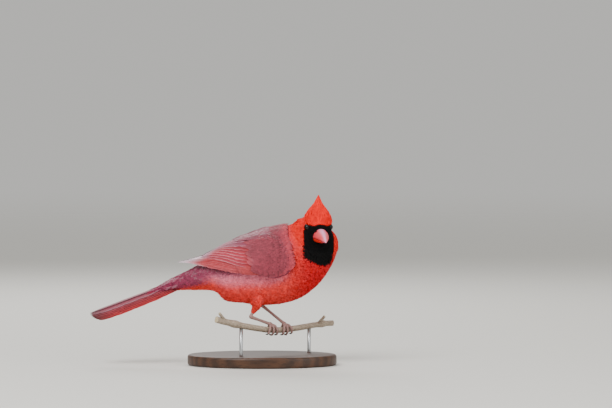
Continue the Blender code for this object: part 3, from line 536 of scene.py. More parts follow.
def bumped(tree, shader, height, strength, depth):
    """Gives the shader a relief of this depth in metres."""
    bump = add(tree, "Bump", {"Height": height, "Strength": strength, "Distance": depth})
    tree.links.new(bump.outputs[0], shader.inputs["Normal"])


def two_tone(tree, share, first, second):
    """The colours between two hex colours, by a share."""
    ramp = add(tree, "ValToRGB", {"Fac": share})
    for element, colour in zip(ramp.color_ramp.elements, (first, second)):
        element.color = linear(colour)
    return ramp.outputs["Color"]


def plumage_finish(name, roughness):
    """Feather barbs: a soft, slightly sheeny keratin, never quite even in colour."""
    made, tree, shader = finish_named(name, {"Roughness": roughness, "Sheen Weight": 0.4,
                                             "Sheen Roughness": 0.5,
                                             "Specular IOR Level": 0.12})
    tint, place = own_tint(tree), object_place(tree)
    tree.links.new(tint, shader.inputs["Sheen Tint"])
    # Clumps 3 mm wide and single barbs 0.4 mm wide.
    clumps, barbs = noise(tree, place, 330.0, 3.0), noise(tree, place, 2400.0)
    both = add(tree, "Math", {0: ranged(tree, clumps, 0.3, 0.7, 0.80, 1.14),
                              1: ranged(tree, barbs, 0.3, 0.7, 0.90, 1.08)},
               operation="MULTIPLY")
    painted(tree, shader, tint, both.outputs[0])
    bumped(tree, shader, barbs, 0.25, 0.0002)
    return made


down_finish = plumage_finish("feather barbs", 0.72)
skin_finish = plumage_finish("skin under the coat", 0.8)

skin_out = point_normals(skin_points, skin_quads)
skin_colour = plumage_colour(skin_points, skin_out) * 0.55
corner_points = skin_points[skin_quads.ravel()]
face_middles = np.repeat(skin_points[skin_quads].mean(1), 4, axis=0)
skin_map = unwrapped(corner_points, chart_of(face_middles), face_middles)
skin = mesh_piece("skin", skin_points, skin_quads, skin_finish, "plumage", skin_colour,
                  {"OFBake": skin_map})
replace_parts(skin, "torso", "neck", "head", "thigh_left", "thigh_right")

# Coat of small feathers
# Body feathers are soft and loose at the edge. Each is built as a fan of five pointed wisps
# of barbs, rooted in the skin and lying back along the body over its neighbours.

WISPS = np.linspace(-1, 1, 5)
FAN, CURL = 0.20, 0.55                      # radians between wisps, and share of the lift
PATCH = 0.003                               # a feather's width on the bake map
TRIES = 4                                   # places tried for each cube of the spacing


def roots_on_skin(seed, spacing, region):
    """Places spread over the skin, one in each cube of the given spacing, with their facing."""
    rng = np.random.default_rng(seed)
    corners = skin_points[skin_quads]
    normals = skin_out[skin_quads]
    wanted = in_region(corners.mean(1), normals.mean(1), region)
    corners, normals = corners[wanted], normals[wanted]
    area = np.linalg.norm(np.cross(corners[:, 2] - corners[:, 0],
                                   corners[:, 3] - corners[:, 1]), axis=1)
    count = int(area.sum() / 2 / spacing ** 2 * TRIES)
    chosen = rng.choice(len(corners), count, p=area / area.sum())
    u, v = rng.random((2, count, 1))
    weights = [(1 - u) * (1 - v), u * (1 - v), u * v, (1 - u) * v]
    points = sum(w * corners[chosen, k] for k, w in enumerate(weights))
    out = unit(sum(w * normals[chosen, k] for k, w in enumerate(weights)))
    cubes = np.floor(points / spacing).astype(int)
    _, first = np.unique(cubes, axis=0, return_index=True)
    first.sort()
    return points[first], out[first], rng


EYE_RADIUS = 2.9
LID_REACH, LID_FORWARD, LID_BEAD = 2.46, 1.52, 0.33
eye_middles = {side: np.mean(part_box("eye_" + side), 0) / MM for side in ("right", "left")}


def eye_clearance(points):
    """Distance from each point to the rim of the nearer eye."""
    return np.minimum(*[np.linalg.norm(points - middle, axis=1) - EYE_RADIUS
                        for middle in eye_middles.values()])


def wisp_fans(roots, out, lie, lengths, widths, lifts, rng):
    """Closed three-sided wisps, five to a feather, fanned about its lie.

    A middle line is root + way x s x length + out x length x sin(lift) x (s - CURL s s).
    """
    count, wisps = len(roots), len(WISPS)
    side = np.cross(out, lie)
    yaw = FAN * WISPS + rng.normal(0, 0.05, (count, wisps))
    size = lengths[:, None] * (1 - 0.22 * np.abs(WISPS)) * rng.uniform(0.82, 1.08, (count, wisps))
    rise = np.sin(lifts)[:, None] + rng.normal(0, 0.02, (count, wisps))
    way = (lie[:, None] * np.cos(yaw)[..., None] + side[:, None] * np.sin(yaw)[..., None])
    cross = np.cross(out[:, None], way)
    start = roots[:, None] + side[:, None] * (WISPS[None, :, None] * widths[:, None, None] * 0.30)
    start = start - out[:, None] * 0.3
    stations = []
    for s, share in ((0.0, 0.75), (0.55, 1.0), (1.0, 0.0)):
        height = size * (rise * s - CURL * np.sin(lifts)[:, None] * s * s) + 0.3 * min(1, 2 * s)
        middle = start + way * (size * s)[..., None] + out[:, None] * height[..., None]
        half = (widths * 0.22 * share)[:, None, None]
        stations.append((middle, half))
    rings = [np.stack([middle - cross * half, middle + out[:, None] * half * 0.7,
                       middle + cross * half], 2) for middle, half in stations[:2]]
    points = np.concatenate(rings + [stations[2][0][:, :, None]], 2).reshape(-1, 3)
    pattern = []
    for i, j in ((0, 1), (1, 2), (2, 0)):
        pattern += [(i, i + 3, j + 3), (i, j + 3, j), (i + 3, 6, j + 3)]
    pattern = np.array(pattern + [(0, 1, 2)])
    starts = np.arange(count * wisps)[:, None, None] * 7
    faces = (pattern[None] + starts).reshape(-1, 3)
    return points, faces


def coat_piece(region, seed, spacing, length, width, lift):
    """A region of the coat: feathers with their colour, from dark roots to bright tips."""
    roots, out, rng = roots_on_skin(seed, spacing, region)
    lie = lie_of_coat(roots, out)
    clear = eye_clearance(roots)
    kept = clear > 0.2
    roots, out, lie, clear = roots[kept], out[kept], lie[kept], clear[kept]
    count = len(roots)
    length, width, lift = (size(roots) if callable(size) else np.full(count, size)
                           for size in (length, width, lift))
    length = np.minimum(length * rng.uniform(0.85, 1.15, count), 0.9 + clear * 0.9)
    lift = lift * rng.uniform(0.75, 1.25, count)
    lie = unit(lie + np.cross(out, lie) * rng.normal(0, 0.07, count)[:, None])
    points, faces = wisp_fans(roots, out, lie, length, width, lift, rng)
    base = plumage_colour(roots + lie * 0.6, out)
    shade = rng.normal(1, 0.07, count)[:, None]
    warmth = rng.normal(0, 0.03, count)[:, None] * np.array([[0.2, 1.0, 1.0]])
    base = np.clip(base * shade + warmth * base.max(1, keepdims=True) * 0.4, 0.002, 1)
    upper = step(roots[:, 2], 66, 80) * step(roots[:, 0], 30, 16)
    tip = laid_over(base, PALE_FRINGE, 0.30 * upper)
    per_point = np.stack([base * 0.5] * 3 + [base] * 3 + [tip], 1)[:, None]
    tint = np.broadcast_to(per_point, (count, len(WISPS), 7, 3)).reshape(-1, 3)
    patch = np.array([(0, 0), (0.4, 0), (0.8, 0), (0, 0.5), (0.4, 0.5), (0.8, 0.5), (0.4, 1)])
    fans = patch[None] * [0.2, 1.0] + (np.arange(len(WISPS)) * [[0.2], [0.0]]).T[:, None]
    places = unwrapped(roots, chart_of(roots), roots)[:, None, None] + PATCH * fans[None]
    mesh_piece("coat_" + region, points, faces, down_finish, "plumage", tint,
               {"OFBake": places.reshape(-1, 2)})


def in_region(points, out, region):
    """Whether each point lies in this region of the coat."""
    x, _, z = points.T
    ahead, _, up = head_place(points)
    on_head, on_leg = from_head(points) < 20, thigh_share(points)[0] > 0.35
    face, upper = (ahead > 0.5) & (up < 9), out[:, 2] > 0.15
    rest = ~on_head & ~on_leg & (x <= 22)
    return {"face": on_head & face, "crown": on_head & ~face, "neck": ~on_head & (x > 22),
            "back": rest & upper & (z > 60), "flank": rest & ~upper & (x > -20),
            "vent": rest & ~upper & (x <= -20) & (x > -91), "legs": on_leg}[region]


def toward_bill(near, far):
    """A size that grows with distance from the bill."""
    return lambda points: near + (far - near) * step(np.linalg.norm(points - BILL_ROOT, axis=1),
                                                     4, 22)


def toward_nape(front, rear):
    return lambda points: np.interp(head_place(points)[0], [-13, -5], [rear, front])


def down_the_thigh(knee_size, heel_size):
    return lambda points: np.interp(thigh_share(points)[2], [0.4, 0.9], [knee_size, heel_size])


# Region, seed, spacing, and the feathers' length, width and lift: a number or a function.
for row in (("face", 11, 0.62, toward_bill(1.1, 2.9), toward_bill(0.75, 1.4), 0.30),
            ("crown", 12, 0.85, toward_bill(2.2, 4.2), toward_bill(1.1, 1.9),
             toward_nape(0.30, 0.12)),
            ("neck", 13, 1.15, 5.2, 2.4, 0.24), ("back", 14, 2.0, 5.0, 2.6, 0.22),
            ("flank", 15, 1.25, 6.0, 2.7, 0.22), ("vent", 16, 1.25, 6.8, 2.8, 0.19),
            ("legs", 17, 0.8, down_the_thigh(4.4, 2.4), 1.5, 0.22)):
    coat_piece(*row)

# Eyes
# Nearly black balls of clear, wet-looking cornea, set in a narrow ring of bare grey-black
# skin. The ring stands a little proud of the mask.

eye_finish, tree, shader = finish_named("dark glass eye", {
    "Roughness": 0.05, "Specular IOR Level": 0.22, "Coat Weight": 0.15,
    "Coat Roughness": 0.02})
iris = two_tone(tree, noise(tree, object_place(tree), 900.0), "060303", "1a0c08")
tree.links.new(iris, shader.inputs["Base Color"])
lid_finish, tree, shader = finish_named("bare eyelid skin", {"Roughness": 0.55})
grain = add(tree, "TexVoronoi", {"Vector": object_place(tree), "Scale": 3200.0})
tree.links.new(two_tone(tree, grain.outputs["Distance"], "262224", "151214"),
               shader.inputs["Base Color"])
bumped(tree, shader, grain.outputs["Distance"], 0.5, 0.0001)


def eye_axes(out):
    """Ways along and up the eye's opening, square to the way it looks."""
    fore = unit(np.cross(UP, out))
    return fore, np.cross(out, fore)


def globe(centre, out, radius):
    """A ball whose poles lie on the way it looks, with a slightly fuller cornea in front."""
    polar = np.linspace(0.02, np.pi - 0.02, 40)
    turn = full_turn(48)
    fore, high = eye_axes(out)
    size = radius * (1 + 0.03 * np.exp(-(polar / 0.7) ** 2))[:, None, None]
    across = (fore * np.cos(turn)[:, None] + high * np.sin(turn)[:, None])[None]
    spots = np.sin(polar)[:, None, None] * across + np.cos(polar)[:, None, None] * out
    return ring_solid(centre + spots * size)


def lid_ring(centre, out):
    """A bead around the eye, oval and drawn to a corner in front and behind."""
    turn, around = full_turn(72), full_turn(12)
    fore, high = eye_axes(out)
    corner = np.abs(np.cos(turn)) ** 6
    reach = (LID_REACH + 0.3 * corner)[:, None]
    spoke = fore * np.cos(turn)[:, None] + high * (np.sin(turn) * 0.94)[:, None]
    line = centre + spoke * reach + out * (LID_FORWARD - 0.2 * corner)[:, None]
    bead = (LID_BEAD * (1 + 0.10 * np.sin(turn * 23)))[:, None, None]
    rings = line[:, None] + (unit(spoke)[:, None] * np.cos(around)[None, :, None]
                             + out * np.sin(around)[None, :, None]) * bead
    grid = np.arange(rings.shape[0] * rings.shape[1]).reshape(rings.shape[:2])
    far, side, both = np.roll(grid, -1, 0), np.roll(grid, -1, 1), np.roll(grid, (-1, -1), (0, 1))
    faces = np.stack([grid, side, both, far], -1).reshape(-1, 4)
    return rings.reshape(-1, 3), faces


for side, sign in (("right", -1.0), ("left", 1.0)):
    out = unit(LEFT * sign + 0.35 * AHEAD)
    eye = mesh_piece("eyeball_" + side, *globe(eye_middles[side], out, EYE_RADIUS - 0.02),
                     eye_finish, "eye")
    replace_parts(eye, "eye_" + side)
    mesh_piece("eyelid_" + side, *lid_ring(eye_middles[side], out), lid_finish, "plumage")

# Bill
# Two horny sheaths over bone: a deep, rounded upper half whose cutting edge turns down at the
# corner of the mouth, and a shallower lower half. The horn is satin and coral, with a painted
# highlight along its ridge, and painted shade down its sides, underneath and in the nostrils.

BILL_BASE, BILL_TIP, LOWER_TIP = 8.0, 27.0, 25.2
BILL_HALF_WIDTH, CULMEN_HEIGHT, TIP_HEIGHT, BITE_GAP = 6.8, 3.8, -4.4, 0.3
NOSTRIL_AHEAD, NOSTRIL_LENGTH = 11.4, 0.85
# Along the bill: place, cutting edge height, lower edge height, share of the half width.
BILL_ROWS = smooth_rows([(0.0, -5.2, -8.0, 1.0), (0.2, -3.7, -7.9, 0.94),
                         (0.45, -3.5, -7.2, 0.77), (0.75, -3.6, -5.9, 0.44),
                         (0.93, -4.1, -5.0, 0.17), (1.0, -4.45, -4.75, 0.06)], 8)

horn_finish, tree, shader = finish_named("coral horn", {
    "Roughness": 0.34, "Specular IOR Level": 0.45, "Coat Weight": 0.25, "Coat Roughness": 0.2,
    "Subsurface Weight": 0.12, "Subsurface Scale": 0.002})
streak_map = add(tree, "UVMap", uv_map="Streaks").outputs["UV"]
streaks = noise(tree, streak_map, 6.0, 4.0)
painted(tree, shader, own_tint(tree), ranged(tree, streaks, 0.3, 0.7, 0.86, 1.12))
bumped(tree, shader, streaks, 0.25, 0.0002)


def looked_up(place, rows, *columns):
    """Columns of a table at places along its first column, straight between its rows."""
    found = [np.interp(place, rows[:, 0], rows[:, k]) for k in columns]
    return found if len(columns) > 1 else found[0]


def bill_half(name, upper):
    """Arch: side = half x cos q, height = edge + (ridge or keel - edge) x sin q to a power."""
    shares = np.linspace(0, 1, 56) ** 0.85
    edge, ridge, wide = looked_up(shares[:, None], BILL_ROWS, 1, 2, 3)
    if upper:
        ridge = CULMEN_HEIGHT + (TIP_HEIGHT - CULMEN_HEIGHT) * shares[:, None] ** 1.9
    else:
        edge = edge - BITE_GAP
    slim, power, tip, belly = ((1.0, 0.85, BILL_TIP, 0.25) if upper
                               else (0.96, 0.65, LOWER_TIP, -0.25))
    half = BILL_HALF_WIDTH * wide * slim
    arch = np.linspace(0, np.pi, 33)[None]
    floor_side = np.linspace(-0.92, 0.92, 11)[None]
    height = edge + (ridge - edge) * np.sin(arch) ** power
    floor_height = edge + belly * (1 - floor_side ** 2) * half / BILL_HALF_WIDTH
    ahead = BILL_BASE + (tip - BILL_BASE) * shares[:, None]
    # The nostril: a small slanting oval pit near the base on each side of the upper half.
    slope = (arch - np.pi / 2) / (np.pi / 2)
    pit = upper * np.exp(-((ahead - NOSTRIL_AHEAD) / NOSTRIL_LENGTH) ** 2
                         - ((np.abs(slope) - 0.5) / 0.10) ** 2)
    side = half * np.cos(arch) * (1 - 0.16 * pit)
    rows = np.concatenate([side, half * floor_side], 1)
    rings = in_head(ahead + 0 * rows, rows, np.concatenate([height, floor_height], 1))
    points, faces = ring_solid(rings)
    # Painted highlight: a light pink laid along the ridge, faint on the lower half; the tip is
    # paled a little as well.
    ridge_highlight = np.concatenate([np.sin(arch[0]) ** 12, np.zeros(floor_side.size)])[None]
    near_root = 1 - step(shares, 0.0, 0.25)[:, None]
    tip_share = step(shares, 0.7, 1.0)[:, None]
    pale = np.clip((0.85 if upper else 0.1) * ridge_highlight * (1 - 0.3 * near_root)
                   + 0.25 * tip_share, 0, 1)[..., None]
    colour = rgb("ec4450" if upper else "e02a1c") * (1 - pale) + rgb("ffb2dc") * pale
    # Painted shade: the sides darken towards the cutting edge and the whole underside by a
    # quarter; the horn is also a little darker near its root.
    rim = np.concatenate([1 - np.sin(arch[0]) ** 0.5, np.ones(floor_side.size)])[None, :, None]
    # Painted shade in the nostril pits: they are darkened nearly to black.
    dark = np.concatenate([pit, np.zeros((len(shares), floor_side.size))], 1)[..., None]
    colour = (colour * (1 - 0.25 * rim) * (1 - 0.15 * near_root[..., None])
              * (1 - 0.9 * np.clip(dark * 1.4, 0, 1)))
    colour = np.broadcast_to(colour, rings.shape).reshape(-1, 3)
    colour = np.vstack([colour, colour[:1], colour[-1:]])
    sides = rings.shape[1]
    along = np.broadcast_to(shares[:, None], rings.shape[:2]).ravel()
    around = np.broadcast_to(np.arange(sides)[None] / sides, rings.shape[:2]).ravel()
    places = np.stack([np.append(around, [0.5, 0.5]), np.append(along, [0, 1])], 1)
    return mesh_piece(name, points, faces, horn_finish, "bill", colour,
                      {"OFBake": places * 0.96 + 0.02, "Streaks": places * [18.0, 1.5]})


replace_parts(bill_half("bill_upper_horn", True), "bill_upper")
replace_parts(bill_half("bill_lower_horn", False), "bill_lower")

# Crest
# Long narrow crown feathers that the bird raises to a point. Each is a slim tuft of barbs;
# they overlap from the forehead up, and the highest reach the peak.


def vanes(centres, outward, narrow, wide, thickness, camber, shaft, splits, rng, columns):
    """Closed thin feathers from their middle lines.

    centres are feathers x stations x 3, outward too or one way a feather; narrow and wide
    are the web's widths on each side of the shaft. A point lies at middle + across x c x
    width + out x (shaft bump - camber c c width), and the under face a thickness below.
    """
    count, stations = centres.shape[:2]
    way = unit(np.gradient(centres, axis=1))
    out = unit(outward - way * (outward * way).sum(-1, keepdims=True))
    across = np.cross(way, out)
    c = columns[None, None, :]
    width = np.where(c < 0, narrow[..., None], wide[..., None])
    edge = np.abs(c) ** 4
    notch = 1 - splits * edge * rng.random((count, stations, len(columns))) ** 2
    sideways = c * width * notch
    bump = shaft * np.exp(-(c / 0.10) ** 2) * np.linspace(1, 0.25, stations)[None, :, None]
    rise = bump - camber * c ** 2 * width
    top = (centres[:, :, None] + across[:, :, None] * sideways[..., None]
           + out[:, :, None] * rise[..., None])
    depth = thickness * (1 - 0.6 * c ** 2) + bump
    under = top - out[:, :, None] * (depth + 0 * sideways)[..., None]
    points = np.stack([top, under], 1)
    wide_count = len(columns)
    grid = np.arange(2 * stations * wide_count).reshape(2, stations, wide_count)
    a, b = grid[0, :-1, :-1], grid[0, :-1, 1:]
    d, e = grid[0, 1:, :-1], grid[0, 1:, 1:]
    lower = stations * wide_count
    faces = [np.stack([a, b, e, d], -1).reshape(-1, 4),
             np.stack([a, d, e, b], -1).reshape(-1, 4) + lower]
    rim = np.concatenate([grid[0, 0, :-1], grid[0, :-1, -1], grid[0, -1, :0:-1],
                          grid[0, :0:-1, 0]])
    nxt = np.roll(rim, -1)
    faces.append(np.stack([rim, rim + lower, nxt + lower, nxt], -1))
    faces = np.concatenate(faces)
    every = (faces[None] + (np.arange(count) * 2 * lower)[:, None, None]).reshape(-1, 4)
    length = np.concatenate([np.zeros((count, 1)), np.linalg.norm(
        np.diff(centres, axis=1), axis=-1).cumsum(1)], 1)
    web = np.stack([sideways, length[..., None] + 0 * sideways], -1)
    web = np.stack([web, web], 1).reshape(-1, 2)
    return points.reshape(-1, 3), every, web


def both_faces(u, s):
    """Map places of a feather's upper face, and of its under face half a cell beside it."""
    return np.stack(np.broadcast_arrays(np.stack([u, u + 0.5])[:, None, :],
                                        s[None, :, None]), -1)[None]


def root_patches(roots, stations, columns):
    """A patch at each root's place on the skin's unwrap, half of it for each face."""
    spots = both_faces((columns + 1) / 4, np.linspace(0, 1, stations))
    places = unwrapped(roots, chart_of(roots), roots)[:, None, None, None]
    return (places + PATCH * spots).reshape(-1, 2)


def spread_tint(middle, edge, tip, root, stations, columns, edge_from=0.72, quill=0.35,
                tip_from=0.78):
    """Colours over each feather: its middle, a fringe, a tip and a root, one set a feather."""
    s = np.linspace(0, 1, stations)[None, :, None, None]
    c = columns[None, None, :, None]
    middle, edge, tip, root = (value[:, None, None] for value in (middle, edge, tip, root))
    colour = middle
    for over, share in ((edge, step(np.abs(c), edge_from, 1.0)), (tip, step(s, tip_from, 1.0)),
                        (root, 1 - step(s, 0.0, 0.3))):
        colour = colour * (1 - share) + over * share
    colour = colour * (1 - np.exp(-(c / 0.09) ** 2) * quill)
    # Painted shade: each feather's under face takes the same colours at four fifths.
    return np.stack([colour, colour * 0.8], 1).reshape(-1, 3)


BARB_TUFT = np.array([-1.0, 0.0, 1.0])              # a narrow tuft's columns across


def feather_outline(stations, blunt=2.2, slim=0.45):
    """Share of the full width along a feather: slim root, full blade, rounded tip."""
    s = np.linspace(0, 1, stations)
    body = slim + (1 - slim) * step(s, 0.0, 0.4)
    return np.maximum(body * (1 - np.clip((s - 0.6) / 0.4, 0, 1) ** blunt) ** 0.62, 0.02)


# The raised crest, from below: height, middle ahead and to the left, half length, half width.
CREST_FORM = np.array([
    (4.0, -1.0, 0.9, 11.0, 11.5), (8.0, -1.7, 0.8, 10.2, 11.7), (12.2, -2.4, 0.3, 9.0, 11.0),
    (15.5, -3.6, 0.6, 7.2, 9.0), (18.9, -4.8, 0.9, 5.3, 6.1), (22.2, -5.9, 1.2, 3.6, 3.4),
    (25.6, -6.9, 1.45, 1.9, 1.7), (28.6, -7.5, 1.6, 0.3, 0.25)])
CREST_TOP, CREST_STATIONS = 28.6, 8


def on_crest(up, share, turn):
    """Places in the crest at a height, a share of the way out and a turn from ahead."""
    ahead, left, long, wide = looked_up(up, CREST_FORM, 1, 2, 3, 4)
    return in_head(ahead + long * share * np.cos(turn), left + wide * share * np.sin(turn), up)


# Feathers stand in a spiral from the forehead's height to the tip, each over the next above.
CREST_COUNT, GOLDEN_TURN = 1250, math.radians(137.508)
rng = np.random.default_rng(21)
levels = np.linspace(3.0, 27.0, 200)
room = np.cumsum(looked_up(levels, CREST_FORM, 3) + 2.5)
order = (np.arange(CREST_COUNT) + rng.uniform(0, 1, CREST_COUNT)) / CREST_COUNT
seat = np.interp(order * room[-1], room, levels)
turn = np.arange(CREST_COUNT) * GOLDEN_TURN + rng.normal(0, 0.08, CREST_COUNT)
reach = np.interp(seat, [3, 9, 16, 27], [5.0, 6.5, 8.5, 5.0]) * rng.uniform(0.85, 1.15,
                                                                           CREST_COUNT)
end = np.minimum(seat + reach, CREST_TOP + rng.uniform(-0.8, 0.0, CREST_COUNT))
s = np.linspace(0, 1, CREST_STATIONS)[None]
height = seat[:, None] + (end - seat)[:, None] * s
share = 0.82 + rng.uniform(0.17, 0.23, CREST_COUNT)[:, None] * s ** 0.6
twist = turn[:, None] + rng.normal(0, 0.06, CREST_COUNT)[:, None] * s
centres = on_crest(height, share, twist)
slope = (looked_up(seat + 1, CREST_FORM, 4) - looked_up(seat - 1, CREST_FORM, 4))[:, None] / 2
facing = unit(np.cos(turn)[:, None] * AHEAD + np.sin(turn)[:, None] * LEFT - slope * UP)
outline = feather_outline(CREST_STATIONS, 1.4, 0.6)[None]
half_width = outline * (np.interp(seat, [4, 16, 26], [0.62, 0.70, 0.50])
                        * rng.uniform(0.8, 1.2, CREST_COUNT))[:, None]
points, faces, _ = vanes(centres, facing[:, None], half_width, half_width, 0.08, 0.30, 0.04,
                         0.3, rng, BARB_TUFT)
crest_red = CROWN * rng.normal(1, 0.08, (CREST_COUNT, 1))
tint = spread_tint(crest_red, crest_red * 1.04, crest_red * 1.08, crest_red * 0.5,
                   CREST_STATIONS, BARB_TUFT, quill=0.12)
tint = laid_over(tint, MASK, mask_share(points))
mesh_piece("crest_feathers", points, faces, down_finish, "plumage", tint,
           {"OFBake": root_patches(centres[:, 0], CREST_STATIONS, BARB_TUFT)})

# Mantle and rump
# Feathers of the back have a firmer, rounded web with a greyish lilac fringe. They lie like
# shingles from the nape to the tail, and are mottled where they grow longest, on the rump.

# Web of a firm feather: barbs run out from the shaft at a slant and lie zipped together.
web_finish, tree, shader = finish_named("feather web", {
    "Roughness": 0.6, "Sheen Weight": 0.2, "Sheen Roughness": 0.4, "Specular IOR Level": 0.35})
web_map = add(tree, "UVMap", uv_map="Web").outputs["UV"]
parts = add(tree, "SeparateXYZ", {"Vector": web_map})
slant = add(tree, "Math", {0: parts.outputs["X"]}, operation="ABSOLUTE")
phase = add(tree, "Math", {0: slant.outputs[0], 1: -1.3, 2: parts.outputs["Y"]},
            operation="MULTIPLY_ADD")
# Barbs are really 0.2 mm apart; they are drawn 0.55 mm apart so that they show.
stripes = add(tree, "Math", {0: phase.outputs[0], 1: 2 * math.pi / 0.55}, operation="MULTIPLY")
wave = add(tree, "Math", {0: stripes.outputs[0]}, operation="SINE").outputs[0]
patchy = noise(tree, object_place(tree), 420.0, 3.0)
lined = add(tree, "Math", {0: wave, 1: 0.05, 2: ranged(tree, patchy, 0.3, 0.7, 0.84, 1.12)},
            operation="MULTIPLY_ADD")
painted(tree, shader, own_tint(tree), lined.outputs[0])
bumped(tree, shader, wave, 0.35, 0.00006)

COARSE = np.array([-1.0, -0.5, 0.0, 0.5, 1.0])     # a web's columns across
BACK_STATIONS = 7
roots, out, rng = roots_on_skin(24, 2.35, "back")
lie = lie_of_coat(roots, out)
lie = unit(lie + np.cross(out, lie) * rng.normal(0, 0.09, len(roots))[:, None])
length = np.interp(roots[:, 0], [-95, -45, 22], [9.5, 9.0, 6.5]) * rng.uniform(0.88, 1.1,
                                                                             len(roots))
s = np.linspace(0, 1, BACK_STATIONS)[None]
height = -0.4 + (1.75 + rng.uniform(-0.2, 0.2, len(roots)))[:, None] * s ** 0.7
height = height - 0.012 * (s * length[:, None]) ** 2
centres = (roots[:, None] + lie[:, None] * (s * length[:, None])[..., None]
           + out[:, None] * height[..., None])
outline = feather_outline(BACK_STATIONS, 2.4, 0.6)[None]
half_width = outline * (np.interp(roots[:, 0], [-95, -45, 22], [2.8, 2.9, 2.3])
                        * rng.uniform(0.9, 1.1, len(roots)))[:, None]
points, faces, web = vanes(centres, out[:, None], half_width, half_width, 0.09, 0.12, 0.03,
                           0.4, rng, COARSE)
rump = step(roots[:, 0], -34, -52)
base = plumage_colour(roots, out) * (1 + rng.normal(0, 1, len(roots))
                                     * (0.05 + 0.13 * rump))[:, None]
base = np.clip(base, 0.01, 1)
fringe = laid_over(base, PALE_FRINGE, 0.15 * step(roots[:, 0], 24, 14) + 0.15 * rump)
fringe_tip = laid_over(base, PALE_FRINGE, (0.18 + 0.30 * rump * rng.random(len(roots)))
                       * step(roots[:, 0], 24, 14))
tint = spread_tint(base, fringe, fringe_tip, base * 0.5, BACK_STATIONS, COARSE, 0.6, 0.12)
mesh_piece("back_feathers", points, faces, web_finish, "plumage", tint,
           {"OFBake": root_patches(roots, BACK_STATIONS, COARSE), "Web": web})

# Wings
# Each folded wing lies on the flank as tiers of overlapping vanes: primaries lowest, then
# secondaries and tertials, with greater, median and lesser coverts over their roots, and
# scapulars over the seam with the back.

# Folded wing's sheet where the body is narrower: x, middle height, half width, and height
# to the back. Wing places are x and the angle up from the side, seen from this middle.
SHEET = np.array([
    (-74.0, 83.0, 8.8, 1.6), (-60.0, 82.0, 11.8, 6.0), (-50.0, 80.8, 15.0, 10.6),
    (-40.0, 79.6, 18.6, 15.2), (-30.0, 78.9, 21.5, 20.0), (-18.0, 78.5, 22.0, 23.0),
    (30.0, 84.0, 10.0, 12.0)])
WING_LIFT = 1.7
NARROW_WEB = 0.8                            # share of a vane's half width before its shaft
FINE = np.array([-1.0, -0.72, -0.4, -0.12, 0.0, 0.12, 0.4, 0.72, 1.0])     # as COARSE
# Where primaries end, from the outermost in; and the arm: x, lowest and highest angle.
PRIMARY_TIPS = (-58.0, -65.0, -69.0, -70.0, -67.0, -62.0, -56.0)
WING_ARM = np.array([(-15.0, -4.0, 77.0), (-3.0, -9.0, 68.0), (5.0, -14.0, 58.0),
                     (12.5, -18.0, 45.0), (20.0, -15.0, 30.0), (24.0, -8.0, 19.0),
                     (25.8, 0.0, 8.0)])
chart_x = np.linspace(-76, 30, 107)
chart_angle = np.linspace(-34, 92, 64)


def settled(degrees):
    """How far vanes stand off the sheet: fully low on the wing, and less over the back."""
    return 1 - 0.6 * np.clip((degrees - 48) / 30, 0, 1)


trunk_tree = BVHTree.FromPolygons((trunk[0] * MM).tolist(), trunk[1].tolist())
chart_radius = np.zeros((len(chart_x), len(chart_angle)))
for i, x in enumerate(chart_x):
    middle, half_width, height = looked_up(x, SHEET, 1, 2, 3)
    for j, degrees in enumerate(chart_angle):
        angle = math.radians(degrees)
        sheet = 1 / math.hypot(math.cos(angle) / half_width, math.sin(angle) / height)
        hit = trunk_tree.ray_cast(Vector((x, 0.0, middle)) * MM,
                                  Vector((0.0, -math.cos(angle), math.sin(angle))))
        body = hit[3] / MM + WING_LIFT * settled(degrees) if hit[0] is not None else 0.0
        chart_radius[i, j] = (sheet ** 6 + body ** 6) ** (1 / 6)


def on_wing(x, degrees, lift=0.0):
    """World places on the right wing's chart, the given height above its sheet."""
    x, degrees = np.broadcast_arrays(np.asarray(x, float), np.asarray(degrees, float))
    i = np.clip(x - chart_x[0], 0, len(chart_x) - 1.001)
    j = np.clip((degrees - chart_angle[0]) / (chart_angle[1] - chart_angle[0]), 0,
                len(chart_angle) - 1.001)
    a, b = i.astype(int), j.astype(int)
    u, v = i - a, j - b
    radius = ((1 - u) * (1 - v) * chart_radius[a, b] + u * (1 - v) * chart_radius[a + 1, b]
              + (1 - u) * v * chart_radius[a, b + 1] + u * v * chart_radius[a + 1, b + 1])
    angle = np.radians(degrees)
    radius = radius + lift * settled(degrees)
    middle = looked_up(x, SHEET, 1)
    return np.stack([x, -radius * np.cos(angle), middle + radius * np.sin(angle)], -1)


def off_wing(x, degrees):
    """The way out of the wing's chart."""
    here = on_wing(x, degrees)
    along = on_wing(np.asarray(x) - 2.0, degrees) - here
    around = on_wing(x, np.asarray(degrees) + 4.0) - here
    return unit(np.cross(around, along))


def wing_vanes(root, tip, lifts, width, stations, columns, rng, blunt=2.2, split=0.2,
               lean=5.0, thickness=0.14, sink=0.5):
    """Vanes between places (x, angle) of the chart, one row of root and tip a feather.

    A feather's middle line is at lift x (1 - s / 4), less its sink at the root.
    """
    s = np.linspace(0, 1, stations)[None]
    x = root[:, :1] + (tip[:, :1] - root[:, :1]) * s
    degrees = root[:, 1:] + (tip[:, 1:] - root[:, 1:]) * s ** 1.15
    lifts = np.asarray(lifts, float)[:, None]
    sink = np.broadcast_to(sink, len(root))[:, None]
    height = lifts * (1 - 0.25 * s) - sink * (1 - step(s, 0, 0.4))
    centres = on_wing(x, degrees, height)
    out = off_wing(x, degrees)
    way = unit(np.gradient(centres, axis=1))
    across = np.cross(way, out)
    tilt = math.radians(lean)
    out = out * math.cos(tilt) + across * math.sin(tilt)
    width = np.broadcast_to(np.asarray(width, float), len(root))[:, None]
    outline = feather_outline(stations, blunt)[None] * width / 2
    return vanes(centres, out, outline * NARROW_WEB, outline * (2 - NARROW_WEB), thickness,
                 0.06, 0.10, split, rng, columns)


